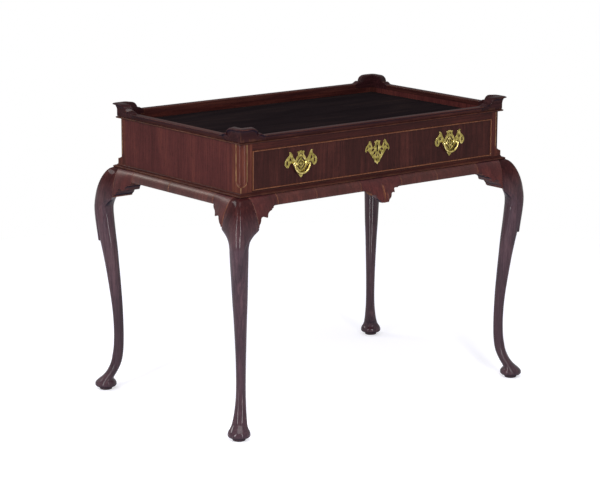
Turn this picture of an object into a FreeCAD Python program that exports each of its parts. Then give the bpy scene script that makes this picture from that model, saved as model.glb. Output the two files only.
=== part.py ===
import FreeCAD, Part

import math
import os

import Sketcher
from FreeCAD import Vector

# ----------------------------------------------------------------------------
# A tea table with a dished tray top, one long drawer and four cabriole legs.
# Frame: origin on the floor under the middle, X along the length, the drawer
# front faces -Y, Z up.  "Face" below means the outer plane of the case.
# ----------------------------------------------------------------------------

DIMENSIONS = {
    # the case and what it stands on
    "leg_height": 554.0,          # floor to the underside of the case
    "case_length": 804.0,         # over the case faces
    "case_depth": 483.0,
    "case_height": 124.0,         # underside of the case to the top of the rails
    "post_square": 32.0,
    "rail_thickness": 20.0,
    "tenon_length": 17.0,
    "tenon_thickness": 6.0,
    "tenon_inset": 4.0,           # face of the rail to the tenon
    "tenon_shoulder": 5.0,        # above and below a tall tenon
    # the dished top
    "rail_lip": 12.0,             # rail left outside the rabbet for the tray board
    "tray_drop": 12.0,            # top of the rails down to the tray floor
    "tongue_thickness": 4.0,
    "board_thickness": 10.0,
    "board_gap": 0.5,             # room for the tray board to swell
    # the drawer opening
    "top_rail_height": 21.0,
    "bottom_rail_height": 11.4,
    "bottom_rail_depth": 60.0,
    # mouldings, measured out from the face
    "ledge_projection": 9.0,
    "ledge_nose": 5.0,
    "ledge_height": 9.5,
    "bead_projection": 3.6,
    "bead_thickness": 5.0,
    "rim_projection": 7.5,
    "rim_height": 12.0,
    "rim_lip": 2.0,
    "lobe_projection": 11.0,
    "lobe_height": 32.0,
    "lobe_neck": 10.0,            # plain height of the lobe under its hollow
    "lobe_lip": 7.0,
    "lobe_length": 80.0,          # from the lip's corner along each side
    "lobe_crown": 47.0,           # flat top, from the lip's corner
    "lobe_round": 18.0,
    "lobe_shoulder": 15.0,
    # the quarter columns on the posts
    "column_radius": 17.5,
    "column_quirk": 1.3,
    "column_stop": 24.0,          # case underside to the foot of the column's stop
    "column_stop_length": 18.0,
    # the cushion apron and its brackets
    "apron_height": 24.5,
    "apron_top_projection": 8.0,
    "apron_bottom_projection": 17.8,
    "apron_bulge_radius": 22.4,
    "knee_lap": 6.0,              # the knee runs this far under the rails, past the post
    "front_bracket_length": 60.0,  # from the post's inner side
    "end_bracket_length": 49.0,
    "knee_depth": 72.0,            # case underside to where knee block and leg blend
    "bracket_depth": 66.5,         # case underside to the tip beside the leg
    "pendant_half_width": 62.0,
    "pendant_depth": 55.0,
    "pendant_swell": 33.0,
    "pendant_thickness": 12.0,
    # the legs, measured along the diagonal out from the ledge's corner
    "knee_swell": 46.0,
    "knee_drop": 96.0,            # case underside to the fullest part of the knee
    "knee_half_width": 24.0,
    "knee_back": 0.0,
    "calf_front": 21.5,
    "calf_back": 12.0,            # this side of the corner, so counted inwards
    "calf_half_width": 17.2,
    "ankle_height": 140.0,
    "ankle_front": 3.6,
    "ankle_back": 20.5,
    "ankle_half_width": 11.4,
    "toe_height": 13.0,
    "toe_radius": 26.5,
    "toe_reach": 25.5,            # centre of the foot along the diagonal
    "pad_radius": 15.0,
    "pad_height": 7.0,
    "lappet_drop": 182.0,         # case underside to the lappet's point
    "lappet_raise": 6.0,
    "lappet_half_width": 14.0,
    # the drawer
    "drawer_clearance": 1.0,      # between each end of the drawer and its post
    "drawer_back_gap": 27.0,      # behind the closed drawer
    "drawer_gap": 0.3,            # over and under the drawer
    "drawer_front_thickness": 20.0,
    "drawer_side_thickness": 10.0,
    "drawer_back_thickness": 10.0,
    "drawer_bottom_thickness": 6.0,
    "drawer_bottom_rise": 6.0,
    "groove_depth": 4.0,
    "tail_length": 8.0,
    "tail_flare": 2.0,
    "cockbead_width": 3.0,
    "cockbead_depth": 11.5,
    "cockbead_proud": 2.5,
    "runner_width": 37.0,
    "guide_height": 24.0,
    "kicker_thickness": 9.0,
    "kicker_gap": 1.3,            # between the kicker and the drawer's side
    "stop_width": 30.0,
    "stop_thickness": 5.0,
    "stop_depth": 12.0,
    "block_length": 50.0,
    "block_thickness": 20.0,
    # the brasses
    "handle_spacing": 460.0,
    "pivot_rise": 2.8,            # the bail's axis over the middle of the drawer front
    "post_spacing": 33.2,         # between the two posts of one handle
    "pivot_proud": 7.0,           # drawer face to the bail's axis
    "post_ball_radius": 3.4,
    "post_shank_radius": 2.0,
    "hole_clearance": 0.1,
    "pin_radius": 1.3,
    "pin_clearance": 0.05,
    "bail_radius": 22.4,          # centre line of the hanging half-ring
    "bail_wire_radius": 2.2,
    "plate_thickness": 1.5,
    "nut_radius": 4.5,
    "nut_thickness": 3.0,
    "nail_radius": 1.0,
    "nail_length": 10.0,
    "nail_head": 0.6,
    "keyhole_rise": 12.8,         # the keyhole over the middle of the drawer front
    "keyhole_radius": 3.2,
    "keyhole_slot": 4.6,
    "keyhole_length": 14.0,
    "lock_width": 56.0,
    "lock_height": 44.0,
    "lock_depth": 10.0,
    "lock_wall": 2.5,
    "bolt_width": 18.0,
    "bolt_thickness": 4.0,
    "bolt_height": 15.0,
    "bolt_gap": 0.4,
    "bolt_sink": 0.6,             # bolt's end below the drawer's top edge
}

doc = FreeCAD.newDocument("tea_table")
sheet = doc.addObject("Spreadsheet::Sheet", "sizes")
for row, (alias, number) in enumerate(DIMENSIONS.items(), start=1):
    sheet.set(f"A{row}", alias)
    sheet.set(f"B{row}", str(number))
    sheet.setAlias(f"B{row}", alias)
doc.recompute()


class Size:
    """A length that carries its number together with its expression over the sheet."""

    def __init__(self, number, text):
        self.number = number
        self.text = text

    def __float__(self):
        return float(self.number)

    def join(self, sign, other, number):
        text = other.text if isinstance(other, Size) else repr(float(other))
        return Size(number, f"({self.text} {sign} {text})")

    def __add__(self, other):
        return self.join("+", other, float(self) + float(other))

    def __sub__(self, other):
        return self.join("-", other, float(self) - float(other))

    def __mul__(self, other):
        return self.join("*", other, float(self) * float(other))

    def __truediv__(self, other):
        return self.join("/", other, float(self) / float(other))

    def __neg__(self):
        return self.join("*", -1.0, -float(self))

    def __radd__(self, other):
        return self + other


def size(alias):
    return Size(sheet.get(alias), f"sizes.{alias}")


ZERO = Size(0.0, "0")

# ----------------------------------------------------------------------------
# Planes that several pieces share
# ----------------------------------------------------------------------------
half_length = size("case_length") / 2
half_depth = size("case_depth") / 2
case_floor = size("leg_height")
case_top = case_floor + size("case_height")
post = size("post_square")
rail = size("rail_thickness")
lip = size("rail_lip")
post_inner_x = half_length - post
post_inner_y = half_depth - post
rail_inner_x = half_length - rail
rail_inner_y = half_depth - rail
tray_floor = case_top - size("tray_drop")
tray_seat = tray_floor - size("tongue_thickness")
board_underside = tray_floor - size("board_thickness")
opening_floor = case_floor + size("bottom_rail_height")
opening_top = case_top - size("top_rail_height")
ledge = size("ledge_projection")
lobe_out = size("lobe_projection")
bead_floor = case_top - size("bead_thickness")
apron_floor = case_floor - size("apron_height")


# ----------------------------------------------------------------------------
# Small makers
# ----------------------------------------------------------------------------
def bind(thing, prop, value):
    thing.setExpression(prop, value.text)


def block(label, x, y, z):
    """A rectangular solid between three pairs of planes."""
    solid = doc.addObject("Part::Box", label)
    for prop, axis, (low, high) in zip(("Length", "Width", "Height"), "xyz", (x, y, z)):
        bind(solid, prop, high - low)
        bind(solid, f"Placement.Base.{axis}", low)
    return solid


def rod(label, radius, length, centre, axis):
    """A cylinder from a centre point along +X, +Y or +Z."""
    solid = doc.addObject("Part::Cylinder", label)
    bind(solid, "Radius", radius)
    bind(solid, "Height", length)
    turn = {"x": (Vector(0, 1, 0), 90), "y": (Vector(1, 0, 0), -90), "z": (Vector(0, 0, 1), 0)}
    solid.Placement = FreeCAD.Placement(Vector(), FreeCAD.Rotation(*turn[axis]))
    for name, value in zip("xyz", centre):
        bind(solid, f"Placement.Base.{name}", value)
    return solid


def ball(label, radius, centre):
    solid = doc.addObject("Part::Sphere", label)
    bind(solid, "Radius", radius)
    for name, value in zip("xyz", centre):
        bind(solid, f"Placement.Base.{name}", value)
    return solid


def cut(label, base, *tools):
    """The base with every tool's shape taken out of it."""
    tool = tools[0] if len(tools) == 1 else group(f"{label}_tools", *tools)
    result = doc.addObject("Part::Cut", label)
    result.Base = base
    result.Tool = tool
    return result


def fuse(label, *pieces):
    result = doc.addObject("Part::MultiFuse", label)
    result.Shapes = list(pieces)
    return result


def common(label, *pieces):
    result = doc.addObject("Part::MultiCommon", label)
    result.Shapes = list(pieces)
    return result


def group(label, *pieces):
    """Separate solids that are handled as one piece."""
    result = doc.addObject("Part::Compound", label)
    result.Links = list(pieces)
    return result


def mirror(label, source, axis):
    """The same piece on the other side of the table, across X or Y."""
    result = doc.addObject("Part::Mirroring", label)
    result.Source = source
    result.Normal = Vector(1, 0, 0) if axis == "x" else Vector(0, 1, 0)
    return result


def loose(label, shape):
    """A sculpted piece whose shape comes from formulas over the sheet's sizes."""
    result = doc.addObject("Part::Feature", label)
    result.Shape = shape
    return result


def draw(sketch, corners):
    """A closed outline through corners, each pinned to the sheet.

    A corner is (across, up) or (across, up, radius): the radius bows the side that
    starts there, outwards of a counter-clockwise outline when positive.
    """
    first = sketch.GeometryCount
    points = [Vector(float(c[0]), float(c[1]), 0) for c in corners]
    ends = []
    for index, corner in enumerate(corners):
        start = points[index]
        stop = points[(index + 1) % len(points)]
        if len(corner) == 2:
            sketch.addGeometry(Part.LineSegment(start, stop), False)
            ends.append((1, 2))
            continue
        radius = abs(float(corner[2]))
        chord = stop - start
        side = Vector(chord.y, -chord.x, 0).normalize()
        if float(corner[2]) < 0:
            side = side * -1
        centre = (start + stop) * 0.5 - side * math.sqrt(radius ** 2 - (chord.Length / 2) ** 2)
        angles = [math.atan2(p.y - centre.y, p.x - centre.x) for p in (start, stop)]
        if float(corner[2]) < 0:
            angles.reverse()
        circle = Part.Circle(centre, Vector(0, 0, 1), radius)
        sketch.addGeometry(Part.ArcOfCircle(circle, angles[0], angles[1]), False)
        ends.append((1, 2) if float(corner[2]) > 0 else (2, 1))
    count = len(corners)
    for index in range(count):
        following = (index + 1) % count
        sketch.addConstraint(Sketcher.Constraint(
            "Coincident", first + index, ends[index][1], first + following, ends[following][0]))
    for index, corner in enumerate(corners):
        for kind, value in (("DistanceX", corner[0]), ("DistanceY", corner[1])):
            place = sketch.addConstraint(Sketcher.Constraint(
                kind, -1, 1, first + index, ends[index][0], float(value)))
            sketch.setExpression(f"Constraints[{place}]", value.text)
        if len(corner) == 3:
            bow = corner[2] if float(corner[2]) > 0 else -corner[2]
            place = sketch.addConstraint(Sketcher.Constraint("Radius", first + index, float(bow)))
            sketch.setExpression(f"Constraints[{place}]", bow.text)


PLANES = {"x": "YZ_Plane", "y": "XZ_Plane", "z": "XY_Plane"}


def attach(body, name, axis):
    """A sketch on the plane across the axis: (Y, Z), (X, Z) or (X, Y)."""
    sketch = body.newObject("Sketcher::SketchObject", name)
    plane = [item for item in body.Origin.OriginFeatures if item.Role == PLANES[axis]][0]
    sketch.AttachmentSupport = [(plane, "")]
    sketch.MapMode = "FlatFace"
    return sketch


def bar(label, axis, *layers):
    """A body of one or more outlines, each padded along the axis.

    A layer is (outline, length): evenly about the middle plane; or
    (outline, low, high): from one plane to the other.
    """
    body = doc.addObject("PartDesign::Body", label)
    for number, layer in enumerate(layers):
        sketch = attach(body, f"{label}_outline_{number}", axis)
        draw(sketch, layer[0])
        pad = body.newObject("PartDesign::Pad", f"{label}_pad_{number}")
        pad.Profile = sketch
        if len(layer) == 2:
            bind(pad, "Length", layer[1])
            pad.Midplane = 1
        else:
            low, high = (-layer[2], -layer[1]) if axis == "y" else layer[1:]
            bind(sketch, "AttachmentOffset.Base.z", low)
            bind(pad, "Length", high - low)
    return body


def mitred(label, axis, outline, reach):
    """A moulding along one side, its ends cut at 45 degrees through the case's corners.

    The outline is (out of the face, up).  The moulding is built on the front (axis x)
    or the left end (axis y), long enough for its furthest reach.
    """
    half_run, half_across = (half_length, half_depth) if axis == "x" else (half_depth, half_length)
    run = half_run + reach
    section = [(-(half_across + corner[0]), *corner[1:]) for corner in outline]
    body = bar(label, axis, (section, run * 2))
    wedges = attach(body, f"{label}_mitre_outline", "z")
    inner = half_across - post
    outer = half_across + reach
    for way in (1.0, -1.0):
        inner_end = (half_run - post) * way
        outer_end = (half_run + reach) * way
        far = (half_run + reach + post) * way
        corners = [(inner_end, -inner), (outer_end, -outer), (far, -outer), (far, -inner)]
        if axis == "y":
            corners = [(across, along) for along, across in corners]
        draw(wedges, corners)
    pocket = body.newObject("PartDesign::Pocket", f"{label}_mitre")
    pocket.Profile = wedges
    pocket.Type = 1
    pocket.Midplane = 1
    return body


nodes = {}


def keep(*pieces):
    for piece in pieces:
        nodes[piece.Label] = piece


def box_outline(x, y):
    return [(x[0], y[0]), (x[1], y[0]), (x[1], y[1]), (x[0], y[1])]


# ----------------------------------------------------------------------------
# Rails: tenoned into the posts, rabbeted at the top for the tray board
# ----------------------------------------------------------------------------
def rail_section(half_across, floor, side):
    """The rail's section with its rabbet; side is +1 at the back and right."""
    face = half_across * side
    inner = (half_across - rail) * side
    step = (half_across - lip) * side
    corners = [(inner, floor), (face, floor), (face, case_top), (step, case_top),
               (step, tray_seat), (inner, tray_seat)]
    return corners if side > 0 else corners[::-1]


def tenon_section(half_across, floor, top, side):
    outer = (half_across - size("tenon_inset")) * side
    inner = (half_across - size("tenon_inset") - size("tenon_thickness")) * side
    low, high = (inner, outer) if side > 0 else (outer, inner)
    return box_outline((low, high), (floor, top))


tenon = size("tenon_length")
shoulder = size("tenon_shoulder")
end_run = post_inner_y * 2
long_run = post_inner_x * 2
tall_tenon = (case_floor + shoulder, tray_seat - shoulder)

end_rail_left = bar("end_rail_left", "y",
                    (rail_section(half_length, case_floor, -1.0), end_run),
                    (tenon_section(half_length, *tall_tenon, -1.0), end_run + tenon * 2))
end_rail_right = mirror("end_rail_right", end_rail_left, "x")
back_rail = bar("back_rail", "x",
                (rail_section(half_depth, case_floor, 1.0), long_run),
                (tenon_section(half_depth, *tall_tenon, 1.0), long_run + tenon * 2))

bolt_back = half_depth - size("drawer_front_thickness") + size("lock_wall")
bolt_front = bolt_back + size("bolt_thickness")
bolt_half = size("bolt_width") / 2
bolt_gap = size("bolt_gap")
front_top_blank = bar("front_top_blank", "x",
                      (rail_section(half_depth, opening_top, -1.0), long_run),
                      (tenon_section(half_depth, opening_top + 2.0, bead_floor, -1.0),
                       long_run + tenon * 2))
bolt_mortise = block("bolt_mortise", (-(bolt_half + bolt_gap), bolt_half + bolt_gap),
                     (-(bolt_front + bolt_gap), -(bolt_back - bolt_gap)), (opening_top, tray_seat))
front_top_rail = cut("front_top_rail", front_top_blank, bolt_mortise)
bottom_rail_back = half_depth - size("bottom_rail_depth")
front_bottom_rail = bar(
    "front_bottom_rail", "x",
    (box_outline((-half_depth, -bottom_rail_back), (case_floor, opening_floor)), long_run),
    (tenon_section(half_depth, case_floor + 2.0, opening_floor - 2.0, -1.0), long_run + tenon * 2))
keep(end_rail_left, end_rail_right, back_rail, front_top_rail, front_bottom_rail)

# ----------------------------------------------------------------------------
# Tray board: a panel between the rails with a tongue that lies in their rabbets
# ----------------------------------------------------------------------------
gap = size("board_gap")
panel_x = rail_inner_x - gap
panel_y = rail_inner_y - gap
notch_x = post_inner_x - gap
notch_y = post_inner_y - gap
tongue_x = half_length - lip - gap
tongue_y = half_depth - lip - gap
panel = [(-notch_x, -panel_y), (notch_x, -panel_y), (notch_x, -notch_y), (panel_x, -notch_y),
         (panel_x, notch_y), (notch_x, notch_y), (notch_x, panel_y), (-notch_x, panel_y),
         (-notch_x, notch_y), (-panel_x, notch_y), (-panel_x, -notch_y), (-notch_x, -notch_y)]
tray_board = bar("tray_board", "z", (panel, board_underside, tray_seat),
                 (box_outline((-tongue_x, tongue_x), (-tongue_y, tongue_y)), tray_seat, tray_floor))
keep(tray_board)

# ----------------------------------------------------------------------------
# Mouldings round the case, mitred at its corners
# ----------------------------------------------------------------------------
nose = size("ledge_nose")
nose_flat = ledge - nose / 2
cove = ledge - nose / 2 - 2.0
ledge_outline = [(ZERO, case_floor), (ZERO, case_floor + size("ledge_height")),
                 (Size(2.0, "2"), case_floor + size("ledge_height"), cove * 1.02),
                 (nose_flat, case_floor + nose, nose / 2 * 1.0001), (nose_flat, case_floor)]
bead_flat = size("bead_projection") - size("bead_thickness") / 2
bead_outline = [(ZERO, bead_floor), (ZERO, case_top),
                (bead_flat, case_top, size("bead_thickness") / 2 * 1.0001), (bead_flat, bead_floor)]
rim_top = case_top + size("rim_height")
rim_out = size("rim_projection")
rim_outline = [(-lip, case_top), (-lip, rim_top), (rim_out, rim_top),
               (rim_out, rim_top - size("rim_lip"), size("rim_height")), (ZERO, case_top)]
for family, outline, reach in (("ledge", ledge_outline, ledge), ("bead", bead_outline,
                                                                size("bead_projection"))):
    front = mitred(f"{family}_front", "x", outline, reach)
    left = mitred(f"{family}_left", "y", outline, reach)
    keep(front, mirror(f"{family}_back", front, "y"), left, mirror(f"{family}_right", left, "x"))

# The rims stop against the lobes at the corners.
rim_half_x = half_length + lobe_out - size("lobe_length")
rim_half_y = half_depth + lobe_out - size("lobe_length")
rim_front = bar("rim_front", "x",
                ([(-(half_depth + c[0]), *c[1:]) for c in rim_outline], rim_half_x * 2))
rim_left = bar("rim_left", "y",
               ([(-(half_length + c[0]), *c[1:]) for c in rim_outline], rim_half_y * 2))
keep(rim_front, mirror("rim_back", rim_front, "y"), rim_left, mirror("rim_right", rim_left, "x"))


# ----------------------------------------------------------------------------
# Corner lobes: L-shaped, hollowed under a rolled lip, rounded off at their ends
# ----------------------------------------------------------------------------
def lobe_section(half_across):
    """Solid from inside the corner out to the lobe's moulded face."""
    neck = case_top + size("lobe_neck")
    crown = case_top + size("lobe_height")
    throat = crown - size("lobe_lip")
    edge = half_across + lobe_out
    return [(-(half_across - size("lobe_length")), case_top),
            (-(half_across - size("lobe_length")), crown),
            (-(edge - 3.0), crown, Size(3.2, "3.2")), (-edge, crown - 3.0), (-edge, throat + 1.0),
            (-(edge - 2.0), throat, -size("lobe_height") * 0.55), (-half_across, neck),
            (-half_across, case_top)]


def lobe_cutter(label, axis, half_run, half_across):
    """What is taken off above the rounded end of one arm."""
    corner = half_run + lobe_out
    crown_end = corner - size("lobe_crown")
    crown = case_top + size("lobe_height")
    cheek = corner - size("lobe_length") + size("lobe_shoulder")
    tip = corner - size("lobe_length") - 1.0
    outline = [(-crown_end, crown + 1.0), (-crown_end, crown, -size("lobe_round")),
               (-cheek, rim_top + 6.0), (-cheek, rim_top + 3.0, size("lobe_shoulder") * 1.3),
               (-tip, rim_top), (-tip, crown + 1.0)]
    return bar(label, axis, (outline, -(half_across + lobe_out + 1.0), -(half_across - lip - 1.0)))


lobe_along_x = bar("lobe_along_x", "x",
                   (lobe_section(half_depth), -(half_length + lobe_out), -rim_half_x))
lobe_along_y = bar("lobe_along_y", "y",
                   (lobe_section(half_length), -(half_depth + lobe_out), -rim_half_y))
lobe_corner = common("lobe_corner", lobe_along_x, lobe_along_y)
lobe_inside = block("lobe_inside", (-(half_length - lip), ZERO), (-(half_depth - lip), ZERO),
                    (case_top - 1.0, case_top + size("lobe_height") + 1.0))
lobe_front_left = cut("lobe_front_left", lobe_corner, lobe_inside,
                      lobe_cutter("lobe_cut_x", "y", half_length, half_depth),
                      lobe_cutter("lobe_cut_y", "x", half_depth, half_length))
lobe_front_right = mirror("lobe_front_right", lobe_front_left, "x")
keep(lobe_front_left, lobe_front_right, mirror("lobe_back_left", lobe_front_left, "y"),
     mirror("lobe_back_right", lobe_front_right, "y"))

# ----------------------------------------------------------------------------
# Cushion apron: glued under the rails between the brackets
# ----------------------------------------------------------------------------
bow = size("apron_bulge_radius")
top_out = size("apron_top_projection")
bottom_out = size("apron_bottom_projection")


def apron_section(half_across):
    inner = half_across - rail
    return [(-inner, apron_floor), (-inner, case_floor), (-(half_across + top_out), case_floor, bow),
            (-(half_across + bottom_out), apron_floor)]


front_bracket_end = post_inner_x - size("front_bracket_length")
end_bracket_end = post_inner_y - size("end_bracket_length")
pendant_half = size("pendant_half_width")
apron_front_left = bar("apron_front_left", "x",
                       (apron_section(half_depth), -front_bracket_end, -pendant_half))
apron_back = mirror("apron_back", bar("apron_back_run", "x", (apron_section(half_depth),
                                                             front_bracket_end * 2)), "y")
apron_left = bar("apron_left", "y", (apron_section(half_length), end_bracket_end * 2))
keep(apron_front_left, mirror("apron_front_right", apron_front_left, "x"), apron_back,
     apron_left, mirror("apron_right", apron_left, "x"))


# ----------------------------------------------------------------------------
# Sculpted surfaces: how far knee, bracket, apron and pendant stand out of the face
# ----------------------------------------------------------------------------
def cushion(drop):
    """The apron's bowed face, at a depth below the case."""
    height = float(size("apron_height"))
    radius = float(bow)
    start = Vector(float(top_out), 0, 0)
    stop = Vector(float(bottom_out), -height, 0)
    chord = stop - start
    side = Vector(-chord.y, chord.x, 0).normalize()
    centre = (start + stop) * 0.5 - side * math.sqrt(radius ** 2 - (chord.Length / 2) ** 2)
    below = min(drop, height)
    return centre.x + math.sqrt(radius ** 2 - (-below - centre.y) ** 2)


def knee(drop):
    """The knee's swell beyond the ledge's corner, along the diagonal."""
    share = min(drop / float(size("knee_drop")), 1.0)
    return float(size("knee_swell")) * (1.0 - (1.0 - share) ** 2) ** 0.62


def knee_corner(drop):
    """The same swell along X or Y, from the face."""
    return float(ledge) + knee(drop) / math.sqrt(2.0)


def knee_side(drop):
    """The swell where the knee meets its bracket: a little less than at the corner."""
    return float(ledge) * 0.9 + 0.93 * knee(drop) / math.sqrt(2.0)


def smooth(share):
    share = min(max(share, 0.0), 1.0)
    return share * share * (3.0 - 2.0 * share)


def plate_wire(to_world, back, front, drops):
    """A closed upright section: straight back, bowed front through the given depths."""
    points = [to_world(front(drop), drop) for drop in drops]
    curve = Part.BSplineCurve()
    curve.interpolate(points)
    low = to_world(back(drops[-1]), drops[-1])
    high = to_world(back(drops[0]), drops[0])
    return Part.Wire([curve.toShape(), Part.makeLine(points[-1], low), Part.makeLine(low, high),
                      Part.makeLine(high, points[0])])


def prism(points, direction):
    """A flat closed outline of lines and three-point arcs, swept along a direction."""
    edges = []
    place = points[0]
    for item in points[1:]:
        if isinstance(item, tuple):
            edges.append(Part.Arc(place, item[0], item[1]).toShape())
            place = item[1]
        else:
            edges.append(Part.makeLine(place, item))
            place = item
    return Part.Face(Part.Wire(edges)).extrude(direction)


def bracket_shape(length):
    """The bracket right of the front left leg; x runs from the knee's joint."""
    depth = float(size("bracket_depth"))
    floor = float(case_floor)
    face = float(half_depth)
    start = -float(post_inner_x + size("knee_lap"))
    drops = [depth * n / 8.0 for n in range(9)]

    def section(share):
        def front(drop):
            blend = smooth(1.0 - share) ** 0.7
            hollow = cushion(drop) + 0.35 * max(drop - float(size("apron_height")), 0.0)
            return blend * knee_side(drop) + (1.0 - blend) * hollow

        def to_world(out, drop):
            return Vector(start + share * length, -(face + out), floor - drop)

        return plate_wire(to_world, lambda drop: -float(rail), front, drops)

    body = Part.makeLoft([section(n / 6.0) for n in range(7)], True)

    def at(share, drop):
        return Vector(start + share * length, -face - 100.0, floor - drop)

    apron = float(size("apron_height"))
    outline = [at(0.0, -1.0), at(0.0, depth - 0.5), at(0.05, depth - 0.5),
               (at(0.11, depth - 8.5), at(0.145, depth - 16.5)),
               (at(0.21, depth - 22.5), at(0.31, depth - 21.5)), at(0.43, depth - 19.0),
               (at(0.46, depth - 25.0), at(0.52, depth - 30.0)), at(0.62, depth - 33.0),
               (at(0.70, depth - 35.0), at(0.77, depth - 38.5)), at(0.84, apron),
               at(1.0, apron), at(1.0, -1.0), at(0.0, -1.0)]
    return body.common(prism(outline, Vector(0, 200.0, 0)))


def swap(shape):
    """The same shape with X and Y exchanged: a front bracket becomes an end bracket."""
    turned = shape.copy()
    turned.rotate(Vector(), Vector(0, 0, 1), -90)
    return turned.mirror(Vector(), Vector(0, 1, 0))


bracket_front_left = loose("bracket_front_left",
                           bracket_shape(float(size("front_bracket_length") + size("knee_lap"))))
end_bracket = swap(bracket_shape(float(size("end_bracket_length") + size("knee_lap"))))
end_bracket.translate(Vector(float(half_depth) - float(half_length),
                             float(post_inner_x) - float(post_inner_y), 0))
bracket_left_front = loose("bracket_left_front", end_bracket)
bracket_front_right = mirror("bracket_front_right", bracket_front_left, "x")
bracket_left_back = mirror("bracket_left_back", bracket_left_front, "y")
keep(bracket_front_left, bracket_front_right, bracket_left_front, bracket_left_back,
     mirror("bracket_back_left", bracket_front_left, "y"),
     mirror("bracket_back_right", bracket_front_right, "y"),
     mirror("bracket_right_front", bracket_left_front, "x"),
     mirror("bracket_right_back", bracket_left_back, "x"))


def pendant_shape():
    """The carved drop in the middle of the front: it swells forward and is hollow behind."""
    depth = float(size("pendant_depth"))
    half = float(pendant_half)
    floor = float(case_floor)
    face = float(half_depth)
    swell = float(size("pendant_swell"))
    apron = float(size("apron_height"))
    drops = [depth * n / 8.0 for n in range(9)]

    def front(share):
        blend = smooth(1.0 - abs(share)) ** 0.7

        def out(drop):
            middle = float(top_out) + (swell - float(top_out)) * math.sin(
                math.pi / 2 * min(drop / depth, 1.0) ** 0.75)
            return blend * middle + (1.0 - blend) * (cushion(drop) + 0.35 * max(drop - apron, 0.0))
        return out

    def wire(share, out, back):
        def to_world(away, drop):
            return Vector(share * half, -(face + away), floor - drop)
        return plate_wire(to_world, lambda drop: back, out, drops)

    shares = [-1.0 + n / 4.0 for n in range(9)]
    body = Part.makeLoft([wire(s, front(s), -float(rail)) for s in shares], True)
    thickness = float(size("pendant_thickness"))
    hollow = Part.makeLoft([wire(s, lambda drop, out=front(s): out(drop) - thickness,
                                 -float(rail) - 60.0) for s in shares], True)
    below = Part.makeBox(half * 4, face * 2, depth * 2,
                         Vector(-half * 2, -face * 1.5, floor - apron - depth * 2))
    body = body.cut(hollow.common(below))

    def at(across, drop):
        return Vector(across, -face - 100.0, floor - drop)

    right = [at(0.17 * half, depth), (at(0.21 * half, depth - 4.0), at(0.24 * half, depth - 6.5)),
             (at(0.33 * half, depth - 10.0), at(0.365 * half, depth - 16.0)),
             (at(0.41 * half, depth - 20.0), at(0.47 * half, depth - 20.5)),
             at(0.57 * half, depth - 19.5), at(0.57 * half, depth - 23.5),
             (at(0.55 * half, depth - 26.0), at(0.60 * half, depth - 28.5)),
             (at(0.70 * half, depth - 29.5), at(0.81 * half, apron)), at(half, apron),
             at(half, -1.0)]

    def flip(point):
        return Vector(-point.x, point.y, point.z)

    left = []
    places = [p[1] if isinstance(p, tuple) else p for p in right]
    for index in range(len(right) - 1, 0, -1):
        stop = flip(places[index - 1])
        item = right[index]
        left.append((flip(item[0]), stop) if isinstance(item, tuple) else stop)
    outline = right + [flip(places[-1])] + left + [places[0]]
    return body.common(prism(outline, Vector(0, 200.0, 0)))


keep(loose("pendant", pendant_shape()))


# ----------------------------------------------------------------------------
# Legs: a square post, a swelling knee, a tapering leg and a pad foot
# ----------------------------------------------------------------------------
def diagonal(out, aside, height):
    """A point by its distance along and across the back right leg's diagonal."""
    along = out / math.sqrt(2.0)
    across = aside / math.sqrt(2.0)
    return Vector(float(half_length) + float(ledge) + along + across,
                  float(half_depth) + float(ledge) + along - across, height)


def knee_block():
    """From the case down to the bracket tips: square inside, swelling outside."""
    depth = float(size("knee_depth"))
    post_x, post_y = float(post_inner_x), float(post_inner_y)
    joint_x = float(post_inner_x + size("knee_lap"))
    joint_y = float(post_inner_y + size("knee_lap"))
    bracket_back_x = float(half_length - rail)
    bracket_back_y = float(half_depth - rail)
    wires = []
    for share in (0.0, 0.1, 0.22, 0.4, 0.6, 0.8, 1.0):
        drop = share * depth
        height = float(case_floor) - drop
        side = knee_side(drop)
        corner = knee_corner(drop)
        corners = [Vector(x, y, height) for x, y in
                   ((bracket_back_x, joint_y), (bracket_back_x, post_y), (post_x, post_y),
                    (post_x, bracket_back_y), (joint_x, bracket_back_y))]
        first = Vector(joint_x, float(half_depth) + side, height)
        last = Vector(float(half_length) + side, joint_y, height)
        tip = Vector(float(half_length) + corner, float(half_depth) + corner, height)
        round_off = 2.0 + 4.0 * share
        near_first = tip + Vector(-round_off, -0.25 * round_off, 0)
        near_last = tip + Vector(-0.25 * round_off, -round_off, 0)
        top = tip + Vector(-0.35 * round_off, -0.35 * round_off, 0)
        quarter = (first + near_first) * 0.5 + Vector(0, 0.6 + share, 0)
        other = (last + near_last) * 0.5 + Vector(0.6 + share, 0, 0)
        curve = Part.BSplineCurve()
        curve.interpolate([first, quarter, near_first, top, near_last, other, last])
        stops = [last, *corners, first]
        wires.append(Part.Wire([curve.toShape()] + [Part.makeLine(a, b)
                                                    for a, b in zip(stops, stops[1:])]))
    return Part.makeLoft(wires, True)


def leg_ring(height, back, front, half_width, roundness, middle=0.5):
    """A closed horizontal section: between a circle (2) and a square on its corner (1)."""
    widest = back + (front - back) * middle
    points = []
    for step in range(24):
        angle = 2 * math.pi * step / 24
        cosine = math.cos(angle)
        sine = math.sin(angle)
        along = math.copysign(abs(cosine) ** (2.0 / roundness), cosine)
        across = math.copysign(abs(sine) ** (2.0 / roundness), sine)
        length = (front - widest) if along > 0 else (widest - back)
        points.append(diagonal(widest + length * along, half_width * across, height))
    curve = Part.BSplineCurve()
    curve.interpolate(points, True)
    return Part.Wire(curve.toShape())


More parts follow.
